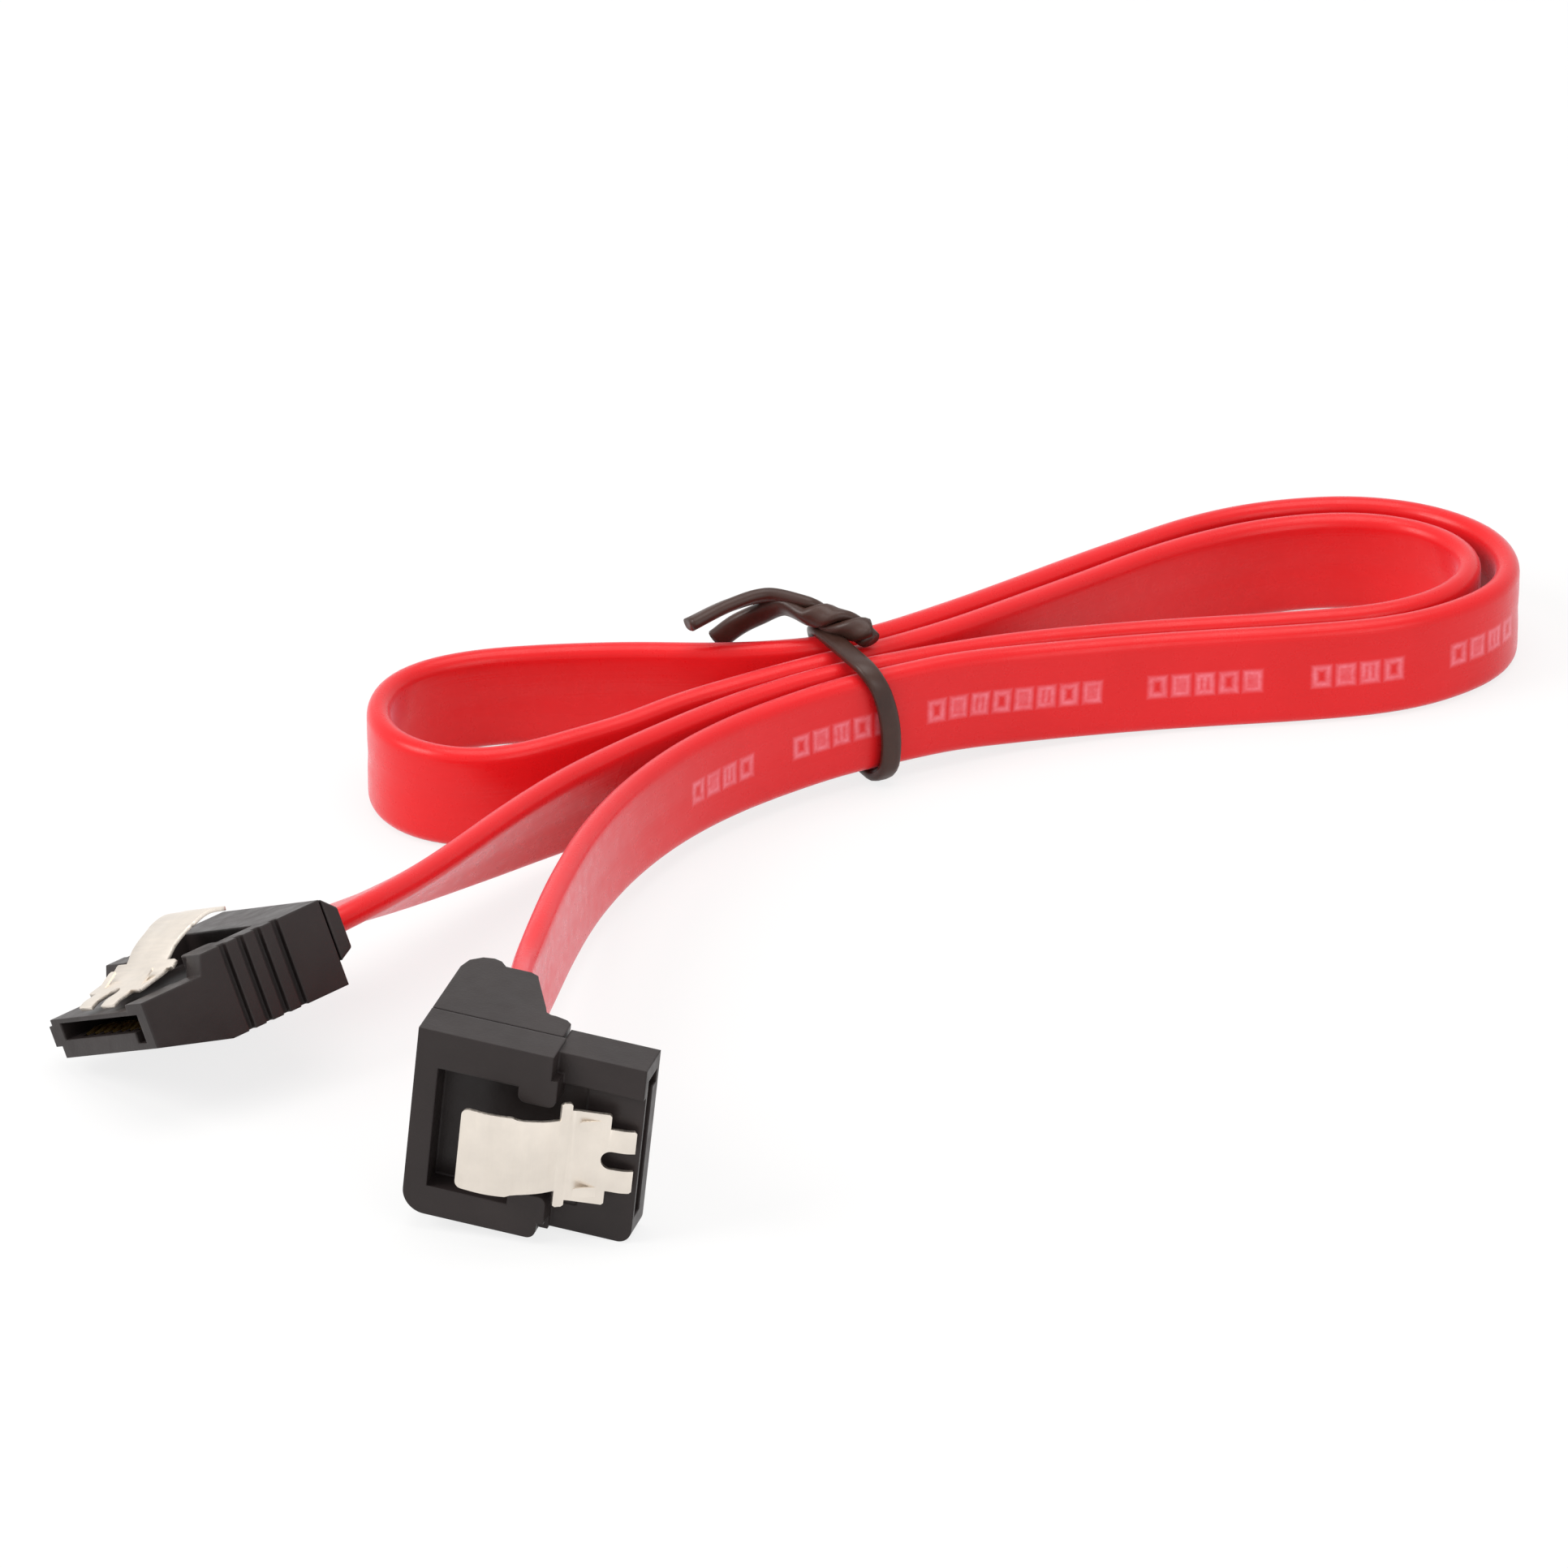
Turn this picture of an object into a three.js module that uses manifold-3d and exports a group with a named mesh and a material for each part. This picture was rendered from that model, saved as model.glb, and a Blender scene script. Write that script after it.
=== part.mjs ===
// A flat serial data cable: a red ribbon folded into a tied hank, with a straight latching plug at one
// end and a right-angled latching plug at the other. Millimetres, +Z up. The ribbon stands on its edge.
// The origin is on the surface that the cable lies on, under the middle of its box.
import * as THREE from "three";
import { mergeVertices } from "three/addons/utils/BufferGeometryUtils.js";
import Module from "manifold-3d";

const wasm = await Module();
wasm.setup();

// Ribbon
const JACKET_WIDTH = 8.2;
const JACKET_THICKNESS = 1.9;
const JACKET_EDGE_SIDES = 5; // facets round each full-round edge
const STEP_TURN = 0.36; // the most that one step of the ribbon turns, in radians
const STEP_RUN = 9; // the longest step of the ribbon

// Clearances
const SEAT_GAP = 0.15; // between fixed pieces that seat in one another
const CABLE_GAP = 0.3; // round the ribbon where it enters a plug
const RUNNING_GAP = 0.3; // round the sprung latch

// Mating block, alike on both plugs. A plug points along +X with its latch on +Z, and x = 0 is its mouth.
const BLOCK_WIDTH = 13.6;
const BLOCK_LENGTH = 6;
const BLOCK_TOP = 1.5; // top of the side rail
const BLOCK_BOTTOM = -2;
const LIP_DROP = 0.5; // how far the lip under the latch lies below the rail
const RAIL_WIDTH = 2.4;
const SLOT_WIDTH = 11.1;
const SLOT_HEIGHT = 1.3;
const SLOT_DEPTH = 5.2;
const SLOT_TOP = 0.65;
const KEY_WIDTH = 1.1; // the short leg of the L-shaped slot
const KEY_DROP = 0.85;

// Contacts
const CONTACT_COUNT = 7;
const CONTACT_PITCH = 1.27;
const CONTACT_WIDTH = 0.6;
const CONTACT_THICKNESS = 0.2;
const CONTACT_LEVEL = -0.95; // middle of the contact's flat shank
const CONTACT_BOW = 0.5; // how far the sprung end rises into the slot
const CONTACT_TIP = -1; // place of the sprung end behind the mouth
const CONTACT_TAIL = 0.8; // length of the solder tail behind the carrier
const GROOVE_WIDTH = 0.9;
const GROOVE_DEPTH = 0.6; // below the slot's floor

// Contact carrier, pushed into the housing from behind
const CARRIER_FRONT = -6.8;
const STRAIGHT_CARRIER_LENGTH = 3.8; // the right-angled plug's carrier fills the room up to its wires
const CARRIER_WIDTH = 10.8;
const CARRIER_TOP = -0.3;
const CARRIER_HEIGHT = 1.5;

// Latch spring
const LATCH_THICKNESS = 0.3;
const LATCH_TIP = -0.25; // place of the fork's ends behind the mouth
const LATCH_CREASE = -5.2; // place of the fold where the pad starts
const LATCH_CREASE_HEIGHT = 2.55;
const LATCH_CROWN = 4.95; // highest point of the arched pad
const PAD_WIDTH = 6.4;
const NECK_WIDTH = 6.3;
const NECK_END = -8.6;
const WING_WIDTH = 8.4;
const WING_LENGTH = 0.7;
const PLATE_WIDTH = 7.3;
const FORK_WIDTH = 5;
const FORK_LENGTH = 1.8;
const FORK_SLOT = 1.45;
const BARB_SPACING = 5.4;
const BARB_SIZE = 0.8;

// The arched pad ends sooner on the straight plug, and so does the pocket in which it travels. The pad's
// points are places behind the mouth and drops below the crown.
const STRAIGHT_PAD = [[-8.2, 0.45], [-9.9, 0], [-11.5, 0.3]];
const STRAIGHT_POCKET_REAR = -12;
const ANGLED_PAD = [[-8.2, 0.4], [-10, 0], [-12.1, 0.1]];
const ANGLED_LATCH_SIDE = -0.7; // the right-angled plug's latch lies this far to one side

// Pocket behind the lip
const POCKET_WIDTH = 9.6;
const POCKET_FLOOR = 0.9;
const EAR_LENGTH = 2.8; // ears that narrow the pocket beside the latch's neck
const EAR_FRONT = -6;
const EAR_GAP = 0.5; // between the ears and the neck
const EAR_RADIUS = 0.6;
const WALL_UNDER_POCKET = 0.5;

// Straight housing and its rear cap
const STRAIGHT_TOP = 2.95;
const STRAIGHT_BOTTOM = -3.7;
const STRAIGHT_LENGTH = 16.9;
const STRAIGHT_LIP_REAR = -5.4; // where the lip ends and the body's front slopes up
const CAP_LENGTH = 1.2;
const CAP_CHAMFER = 1.1;
const CAP_BOTTOM = -1.9;
const CAP_SPIGOT = 2;
const HOUSING_WALL = 0.8;
const STRAIGHT_ENTRY_LEVEL = 0.2; // height of the ribbon's middle in the plug
const STRAIGHT_GRIP_ON_RIBBON = 1; // length of ribbon inside the housing
const GUIDE_RIB = { width: 0.45, bottom: -1.1, top: 0.5 }; // along one side of the mating block
const RIB_UNDERCUT = 0.4; // how far the block steps in below the rib
const GRIP_GROOVES = 4;
const GRIP_PITCH = 1.6;
const GRIP_FIRST = -8;
const GRIP_WIDTH = 0.6;
const GRIP_DEPTH = 0.5;

// Right-angled housing and its rear cover
const ANGLED_LENGTH = 16.5;
const ANGLED_BLOCK_LENGTH = 6.5;
const ANGLED_TOP = 3;
const ANGLED_UPPER_SIDE = 7; // half widths of the body, measured from the slot's middle
const ANGLED_LOWER_SIDE = 7.8;
const ANGLED_BLOCK_UPPER = 6.75; // and those of its mating block
const ANGLED_BLOCK_LOWER = 7.6;
const ANGLED_POCKET_WALL = 1.7; // between the pocket and the plug's rear
const SEAM_LEVEL = -0.2; // where the rear cover meets the housing
const COVER_BACK = -3;
const COVER_WALL = 1.2;
const BOSS_END = -8.4; // the boss that the ribbon leaves by
const BOSS_DEPTH = 7.4; // from the plug's rear to the boss's front at its root
const BOSS_TAPER = 1.7;
const BOSS_LIP = 0.8; // how far the boss's outer rim stands out past its end
const ANGLED_RIBBON_INSET = 3.2; // the ribbon's middle, in from the plug's rear
const ANGLED_GRIP_ON_RIBBON = 2.6; // length of ribbon inside the boss
const WIRE_ROOM = 2.7; // from the ribbon's middle to the contact carrier
const NOSE_RADIUS = 1; // lower corner of the mating block
const CORNER_RADIUS = 1.7; // lower rear corner
const STEP_RADIUS = 0.7; // lower corner where the body steps in to its mating block

// Wires between the ribbon and the contacts: ground, pair, ground, pair, ground
const WIRE_RADIUS = { ground: 0.22, signal: 0.42 };
const WIRE_ORDER = ["ground", "signal", "signal", "ground", "signal", "signal", "ground"];

// Twist tie
const TIE_WIDTH = 1.6;
const TIE_THICKNESS = 0.8;
const TIE_CORNER = 1.5; // inner radius at the corners
const TIE_SIDES = 40; // facets round the loop
const TIE_TAIL_WIDTH = 1.5;
const TIE_TAIL_THICKNESS = 0.9;
const TIE_CENTRE = new THREE.Vector3(5.83, 4.2, 5.23);
const TIE_HEADING = THREE.MathUtils.degToRad(27); // the way the four strands run under the tie
const TIE_INNER_WIDTH = 4 * JACKET_THICKNESS + 2.1; // across the four strands
const TIE_INNER_HEIGHT = JACKET_WIDTH + 0.65;
const TIE_FOOT = -0.3; // where the loop's foot lies along the strands
const TIE_LEAN = 1.1; // how far its top leans back from there
const TIE_BOW = 0.5; // how far its middle bows forward
const TWIST_TURNS = 1.1;
const TWIST_RADIUS = 0.72;

// Where the tie's ends run: x, y and the rise above the top of its loop
const KNOT = [6.7, 4.5, 0.2];
const TWIST_END = [1.8, 6.7, 1.1];
const HIGH_TAIL = [[-1.3, 8, 1.8], [-4.2, 6.9, 1.5], [-7.3, 5.1, 0.7]];
const LOW_TAIL = [[-0.1, 7.8, 1], [-2, 8.5, -0.1], [-3.6, 8.8, -1.1], [-5.2, 9.2, -2.6]];

// How each plug lies: its mouth's place, then heading, nose-down pitch and roll in degrees
const STRAIGHT_LIE = { place: [-49.65, -50.53, 5.85], turn: [-139.9, 4.2, 26.3] };
const ANGLED_LIE = { place: [-9.94, -71.2, 7.5], turn: [-15.8, 5.8, 88.9] };

// The ribbon's route from the right-angled plug to the straight one: x, y, z of its middle, and how far
// its width has twisted from upright towards the width of the plug that it is near.
const ROUTE = [
  [-19, -49.4, 7.1, 0.5], [-17.7, -41.7, 6.8, 0], [-16.3, -33.8, 6.3, 0], [-14.4, -25.8, 5.8, 0],
  [-11.6, -18.2, 5.4, 0], [-7.9, -11.7, 5.2, 0], [-3.8, -6.8, 5.1, 0], [0.8, -2.9, 5.1, 0],
  [4.6, -0.4, 5.2, 0], [8.6, 1.7, 5.2, 0], [12.8, 3.9, 5.1, 0], [18, 6.3, 4.6, 0],
  [27.3, 9, 4.2, 0], [34, 10.2, 4.1, 0], [40, 11, 4.1, 0], [46.2, 12.2, 4.1, 0],
  [49.8, 13.6, 4.1, 0], [52.8, 15.6, 4.1, 0], [55.4, 18.2, 4.1, 0], [56.8, 21.4, 4.1, 0],
  [56.8, 25, 4.1, 0], [55.7, 28.2, 4.1, 0], [53.5, 30.8, 4.1, 0], [50.5, 32.8, 4.1, 0],
  [47, 33.9, 4.1, 0], [43.4, 34.1, 4.1, 0], [37.4, 32.9, 4.1, 0], [32.4, 30.5, 4.1, 0],
  [27.5, 26.7, 4.2, 0], [22.6, 22.4, 4.4, 0], [17.7, 17.7, 4.7, 0], [12.6, 13, 5, 0],
  [5.8, 7.7, 5.3, 0], [1.2, 6.3, 5.2, 0], [-4.2, 6.4, 4.8, 0], [-12.9, 7.5, 4.3, 0],
  [-20.6, 7.2, 4.1, 0], [-24.6, 6.3, 4.1, 0], [-27.9, 4.6, 4.1, 0], [-30.1, 2.1, 4.1, 0],
  [-31, -1, 4.1, 0], [-30.9, -4.2, 4.1, 0], [-29.8, -7, 4.1, 0], [-27.8, -9, 4.1, 0],
  [-25.2, -10.1, 4.1, 0], [-22.5, -10.2, 4.1, 0], [-19.5, -9.4, 4.2, 0], [-16, -7.4, 4.3, 0],
  [-12, -5, 4.4, 0], [-8.2, -2.3, 4.7, 0], [-4.2, 0, 4.9, 0], [2, 3.4, 5.1, 0],
  [6.7, 5.7, 5.2, 0], [12.9, 10.1, 5, 0], [18.1, 14.8, 4.7, 0], [23.4, 19.9, 4.3, 0],
  [28.7, 24.5, 4.2, 0], [33.4, 27.8, 4.1, 0], [38.2, 30, 4.1, 0], [43.6, 31.1, 4.1, 0],
  [47.6, 30.7, 4.1, 0], [50.9, 29.1, 4.1, 0], [53.2, 26.5, 4.1, 0], [54, 23.4, 4.1, 0],
  [53.1, 20.1, 4.1, 0], [50.8, 17.2, 4.1, 0], [46.6, 14.8, 4.1, 0], [40, 13.4, 4.1, 0],
  [27, 11.3, 4.2, 0], [17.3, 8.4, 4.6, 0], [7.7, 3.8, 5.1, 0], [3, 1.6, 5.1, 0],
  [-1, -1, 5.1, 0], [-5, -4, 5.1, 0.02], [-9, -7.4, 5.1, 0.08], [-13, -11.1, 5.2, 0.16],
  [-17.6, -16, 5.5, 0.3], [-22.4, -22, 5.9, 0.48], [-27.6, -29, 6.5, 0.72],
];

const colours = { jacket: 0xe24246, housing: 0x3a3434, carrier: 0x2a2727, contact: 0xd9b25a, steel: 0xdcd2c8 };
const materials = {
  jacket: new THREE.MeshStandardMaterial({ color: colours.jacket, roughness: 0.45, metalness: 0 }),
  housing: new THREE.MeshStandardMaterial({ color: colours.housing, roughness: 0.5, metalness: 0 }),
  carrier: new THREE.MeshStandardMaterial({ color: colours.carrier, roughness: 0.6, metalness: 0 }),
  contact: new THREE.MeshStandardMaterial({ color: colours.contact, roughness: 0.3, metalness: 1 }),
  steel: new THREE.MeshStandardMaterial({ color: colours.steel, roughness: 0.35, metalness: 1 }),
  signal: new THREE.MeshStandardMaterial({ color: 0xd8d4cc, roughness: 0.5, metalness: 0 }),
  tin: new THREE.MeshStandardMaterial({ color: 0xb9b5ad, roughness: 0.35, metalness: 1 }),
  tie: new THREE.MeshStandardMaterial({ color: 0x3c342d, roughness: 0.4, metalness: 0 }),
};

// Turns closed three.js geometry into a solid that can be joined and cut.
function toSolid(geometry) {
  const bare = geometry.clone();
  bare.deleteAttribute("normal");
  bare.deleteAttribute("uv");
  const merged = mergeVertices(bare, 1e-4);
  const triVerts = Uint32Array.from(merged.index.array);
  const vertProperties = Float32Array.from(merged.attributes.position.array);
  return new wasm.Manifold(new wasm.Mesh({ numProp: 3, vertProperties, triVerts }));
}

// Turns a solid back into a named three.js mesh.
function toMesh(name, solid, material) {
  const mesh = solid.getMesh();
  const geometry = new THREE.BufferGeometry();
  geometry.setAttribute("position", new THREE.BufferAttribute(mesh.vertProperties, 3));
  geometry.setIndex(new THREE.BufferAttribute(mesh.triVerts, 1));
  geometry.computeVertexNormals();
  const named = new THREE.Mesh(geometry, material);
  named.name = name;
  return named;
}

// A box between two x, two y and two z values.
function block([x0, x1], [y0, y1], [z0, z1]) {
  const box = new THREE.BoxGeometry(x1 - x0, y1 - y0, z1 - z0);
  box.translate((x0 + x1) / 2, (y0 + y1) / 2, (z0 + z1) / 2);
  return toSolid(box);
}

// A side profile of [x, z] points, given its width from y0 to y1.
function sideProfile(points, y0, y1) {
  const shape = new THREE.Shape(points.map(([x, z]) => new THREE.Vector2(x, z)));
  const geometry = new THREE.ExtrudeGeometry(shape, { depth: y1 - y0, bevelEnabled: false });
  geometry.rotateX(Math.PI / 2);
  geometry.translate(0, y1, 0);
  return toSolid(geometry);
}

// A plan outline, given its height from z0 to z1.
function planOutline(shape, z0, z1) {
  const geometry = new THREE.ExtrudeGeometry(shape, { depth: z1 - z0, bevelEnabled: false, curveSegments: 6 });
  geometry.translate(0, 0, z0);
  return toSolid(geometry);
}

// The outline of a bent strip: the points of its middle line, moved half its thickness to each side.
function stripOutline(points, thickness) {
  const half = thickness / 2;
  const sides = points.map(([x, z], i) => {
    const [ax, az] = points[Math.max(i - 1, 0)];
    const [bx, bz] = points[Math.min(i + 1, points.length - 1)];
    const run = Math.hypot(bx - ax, bz - az);
    const across = [-(bz - az) / run, (bx - ax) / run];
    return { up: [x + across[0] * half, z + across[1] * half], down: [x - across[0] * half, z - across[1] * half] };
  });
  return [...sides.map((side) => side.up), ...sides.reverse().map((side) => side.down)];
}

// A tube of a given section along points.
function tube(points, section, steps) {
  const extrudePath = new THREE.CatmullRomCurve3(points, false, "centripetal");
  return toSolid(new THREE.ExtrudeGeometry(section, { steps, bevelEnabled: false, extrudePath }));
}

// A round section with the given number of sides.
function roundSection(radius, sides) {
  const corners = Array.from({ length: sides }, (_, i) => (2 * Math.PI * i) / sides);
  return new THREE.Shape(corners.map((a) => new THREE.Vector2(radius * Math.cos(a), radius * Math.sin(a))));
}

const contactPlaces = Array.from(
  { length: CONTACT_COUNT },
  (_, i) => (i - (CONTACT_COUNT - 1) / 2) * CONTACT_PITCH,
);
const lipTop = BLOCK_TOP - LIP_DROP;
const slotFloor = SLOT_TOP - SLOT_HEIGHT;
const halfBlock = BLOCK_WIDTH / 2;
const cavityTop = POCKET_FLOOR - WALL_UNDER_POCKET;
const cavityHalf = CARRIER_WIDTH / 2 + SEAT_GAP;
const straightRibbonEnd = -STRAIGHT_LENGTH + STRAIGHT_GRIP_ON_RIBBON;
const angledRibbonPlace = -ANGLED_LENGTH + ANGLED_RIBBON_INSET;
const angledRibbonEnd = BOSS_END + ANGLED_GRIP_ON_RIBBON;
const angledPocketRear = -ANGLED_LENGTH + ANGLED_POCKET_WALL;
const carrierBack = { straight: CARRIER_FRONT - STRAIGHT_CARRIER_LENGTH, angled: angledRibbonPlace + WIRE_ROOM };
const carrierFloor = CARRIER_TOP - CARRIER_HEIGHT - SEAT_GAP;
const entryWidth = JACKET_WIDTH + 2 * CABLE_GAP;
const entryHeight = JACKET_THICKNESS + 2 * CABLE_GAP;

// The pocket in which the latch travels, with two round-cornered ears beside the latch's neck.
function pocketOutline(rear, side) {
  const wide = POCKET_WIDTH / 2;
  const narrow = NECK_WIDTH / 2 + EAR_GAP;
  const earBack = EAR_FRONT - EAR_LENGTH;
  const round = EAR_RADIUS;
  const shape = new THREE.Shape();
  shape.moveTo(LATCH_CREASE + 1, side + wide);
  shape.lineTo(EAR_FRONT, side + wide);
  shape.absarc(EAR_FRONT - round, side + narrow + round, round, 0, -Math.PI / 2, true);
  shape.absarc(earBack + round, side + narrow + round, round, -Math.PI / 2, -Math.PI, true);
  shape.lineTo(earBack, side + wide);
  shape.lineTo(rear, side + wide);
  shape.lineTo(rear, side - wide);
  shape.lineTo(earBack, side - wide);
  shape.absarc(earBack + round, side - narrow - round, round, Math.PI, Math.PI / 2, true);
  shape.absarc(EAR_FRONT - round, side - narrow - round, round, Math.PI / 2, 0, true);
  shape.lineTo(EAR_FRONT, side - wide);
  shape.lineTo(LATCH_CREASE + 1, side - wide);
  return shape;
}

// What the mouth and the latch take out of either plug: the top of its body, the far side of its block,
// the ends of its pocket and the side to which the latch's middle lies.
function matingCuts(top, blockSide, lipRear, pocketRear, side) {
  const past = 1;
  const halfSlot = SLOT_WIDTH / 2;
  const cuts = [
    block([-SLOT_DEPTH, past], [-halfSlot, halfSlot], [slotFloor, SLOT_TOP]),
    block([-SLOT_DEPTH, past], [halfSlot - KEY_WIDTH, halfSlot], [slotFloor - KEY_DROP, SLOT_TOP]),
    block([lipRear, past], [-BLOCK_WIDTH, blockSide - RAIL_WIDTH], [lipTop, top + past]),
    planOutline(pocketOutline(pocketRear, side), POCKET_FLOOR, top + past),
  ];
  for (const y of contactPlaces) {
    const half = GROOVE_WIDTH / 2;
    cuts.push(block([CARRIER_FRONT - past, CONTACT_TIP + 0.4], [y - half, y + half], [slotFloor - GROOVE_DEPTH, SLOT_TOP]));
  }
  return cuts;
}

function cutAll(solid, cuts) {
  return cuts.reduce((left, cut) => left.subtract(cut), solid);
}

function contactProfile(plugName) {
  const shank = CONTACT_LEVEL;
  return stripOutline(
    [
      [CONTACT_TIP, shank + CONTACT_BOW * 0.5], [CONTACT_TIP - 0.9, shank + CONTACT_BOW],
      [CONTACT_TIP - 2, shank + CONTACT_BOW * 0.7], [CONTACT_TIP - 3.2, shank],
      [carrierBack[plugName] - CONTACT_TAIL, shank],
    ],
    CONTACT_THICKNESS,
  );
}

function contacts(plugName) {
  return contactPlaces.map((y, i) => {
    const solid = sideProfile(contactProfile(plugName), y - CONTACT_WIDTH / 2, y + CONTACT_WIDTH / 2);
    return toMesh(`${plugName}_contact_${i + 1}`, solid, materials.contact);
  });
}

// The carrier holds the seven contacts in line behind the slot.
function carrier(plugName) {
  const half = CARRIER_WIDTH / 2;
  const back = carrierBack[plugName];
  const body = block([back, CARRIER_FRONT - SEAT_GAP], [-half, half], [CARRIER_TOP - CARRIER_HEIGHT, CARRIER_TOP]);
  const channels = contactPlaces.map((y) => {
    const side = CONTACT_WIDTH / 2 + SEAT_GAP;
    const rise = CONTACT_THICKNESS / 2 + SEAT_GAP;
    return block([back - 1, CARRIER_FRONT + 1], [y - side, y + side], [CONTACT_LEVEL - rise, CONTACT_LEVEL + rise]);
  });
  return toMesh(`${plugName}_contact_carrier`, cutAll(body, channels), materials.carrier);
}

// The latch is one stamping: a fork at the mouth, a sloping plate with two barbs, and an arched pad.
function latch(plugName, pad, middleSide) {
  const tipLevel = lipTop + RUNNING_GAP + LATCH_THICKNESS / 2;
  const middle = [
    [LATCH_TIP, tipLevel], [LATCH_TIP - 0.6, tipLevel + 0.25], [LATCH_TIP - 1.6, tipLevel + 0.4],
    [LATCH_CREASE, LATCH_CREASE_HEIGHT], [LATCH_CREASE - 0.4, LATCH_CREASE_HEIGHT + 0.35],
    [LATCH_CREASE - 1.3, LATCH_CROWN - 1.25], ...pad.map(([x, drop]) => [x, LATCH_CROWN - drop]),
  ];
  const padEnd = pad[pad.length - 1][0];
  const sheet = sideProfile(stripOutline(middle, LATCH_THICKNESS), -WING_WIDTH, WING_WIDTH);
  const forkRoot = LATCH_TIP - FORK_LENGTH;
  const wingBack = LATCH_CREASE - WING_LENGTH / 2;
  const side = [
    [LATCH_TIP + 1, FORK_WIDTH / 2], [forkRoot, FORK_WIDTH / 2], [forkRoot, PLATE_WIDTH / 2],
    [wingBack + WING_LENGTH, PLATE_WIDTH / 2], [wingBack + WING_LENGTH, WING_WIDTH / 2],
    [wingBack, WING_WIDTH / 2], [wingBack, NECK_WIDTH / 2 - 0.3], [NECK_END + 1, NECK_WIDTH / 2 - 0.2],
    [NECK_END, PAD_WIDTH / 2], [padEnd + 0.6, PAD_WIDTH / 2], [padEnd - 0.2, PAD_WIDTH / 2 - 0.7],
  ];
  const outline = new THREE.Shape(
    [...side, ...side.map(([x, y]) => [x, -y]).reverse()].map(([x, y]) => new THREE.Vector2(x, y)),
  );
  const slotEnd = forkRoot + FORK_SLOT / 2 - 0.5;
  const forkSlot = new THREE.Shape();
  forkSlot.moveTo(LATCH_TIP + 2, -FORK_SLOT / 2);
  forkSlot.lineTo(LATCH_TIP + 2, FORK_SLOT / 2);
  forkSlot.lineTo(slotEnd, FORK_SLOT / 2);
  forkSlot.absarc(slotEnd, 0, FORK_SLOT / 2, Math.PI / 2, (3 * Math.PI) / 2, false);
  const height = [-1, LATCH_CROWN + 2];
  const blank = planOutline(outline, ...height).subtract(planOutline(forkSlot, ...height));
  const barbFront = LATCH_CREASE + 2.6;
  const barbBase = LATCH_CREASE_HEIGHT - 0.45;
  const barbs = [-1, 1].map((hand) => {
    const middleY = (hand * BARB_SPACING) / 2;
    const wedge = [[barbFront, barbBase], [barbFront - 1.3, barbBase + 0.85], [barbFront - 1.3, barbBase]];
    return sideProfile(wedge, middleY - BARB_SIZE / 2, middleY + BARB_SIZE / 2);
  });
  const solid = barbs.reduce((joined, barb) => joined.add(barb), sheet.intersect(blank));
  return toMesh(`${plugName}_latch`, solid.translate([0, middleSide, 0]), materials.steel);
}

// Wires from the ribbon's end to the contact tails, along a path given for each side-to-side place.
function wires(plugName, pathAt) {
  return contactPlaces.map((y, i) => {
    const kind = WIRE_ORDER[i];
    const radius = WIRE_RADIUS[kind];
    const solid = tube(pathAt(y, radius), roundSection(radius, 8), 6);
    const material = kind === "signal" ? materials.signal : materials.tin;
    return toMesh(`${plugName}_${kind}_wire_${i + 1}`, solid, material);
  });
}

function straightHousing() {
  const rear = -STRAIGHT_LENGTH;
  const profile = [
    [0, BLOCK_BOTTOM], [0, BLOCK_TOP], [STRAIGHT_LIP_REAR, BLOCK_TOP], [-BLOCK_LENGTH, STRAIGHT_TOP], [rear, STRAIGHT_TOP],
    [rear, STRAIGHT_BOTTOM], [-BLOCK_LENGTH - 0.25, STRAIGHT_BOTTOM],
  ];
  const floor = STRAIGHT_BOTTOM + HOUSING_WALL;
  const chamberFront = STRAIGHT_POCKET_REAR - WALL_UNDER_POCKET;
  const half = entryWidth / 2;
  const cuts = [
    ...matingCuts(STRAIGHT_TOP, halfBlock, STRAIGHT_LIP_REAR, STRAIGHT_POCKET_REAR, 0),
    block([carrierBack.straight - 1, CARRIER_FRONT], [-cavityHalf, cavityHalf], [carrierFloor, cavityTop]),
    block([rear - 1, carrierBack.straight - SEAT_GAP], [-cavityHalf, cavityHalf], [floor, cavityTop]),
    block([-BLOCK_LENGTH, 1], [-halfBlock - 1, -halfBlock + RIB_UNDERCUT], [BLOCK_BOTTOM - 1, GUIDE_RIB.bottom]),
    block([rear - 1, chamberFront], [-half, half], [floor, STRAIGHT_ENTRY_LEVEL + entryHeight / 2]),
  ];
  for (let i = 0; i < GRIP_GROOVES; i += 1) {
    const x = GRIP_FIRST - i * GRIP_PITCH;
    for (const hand of [-1, 1]) {
      const sides = [hand * (halfBlock - GRIP_DEPTH), hand * (halfBlock + 1)].sort((a, b) => a - b);
      cuts.push(block([x - GRIP_WIDTH / 2, x + GRIP_WIDTH / 2], sides, [STRAIGHT_BOTTOM - 1, STRAIGHT_TOP + 1]));
    }
  }
  const ribSides = [-halfBlock - GUIDE_RIB.width, -halfBlock + 0.2];
  const rib = block([-BLOCK_LENGTH - 0.2, 0], ribSides, [GUIDE_RIB.bottom, GUIDE_RIB.top]);
  const solid = cutAll(sideProfile(profile, -halfBlock, halfBlock).add(rib), cuts);
  return toMesh("straight_housing", solid, materials.housing);
}

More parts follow.
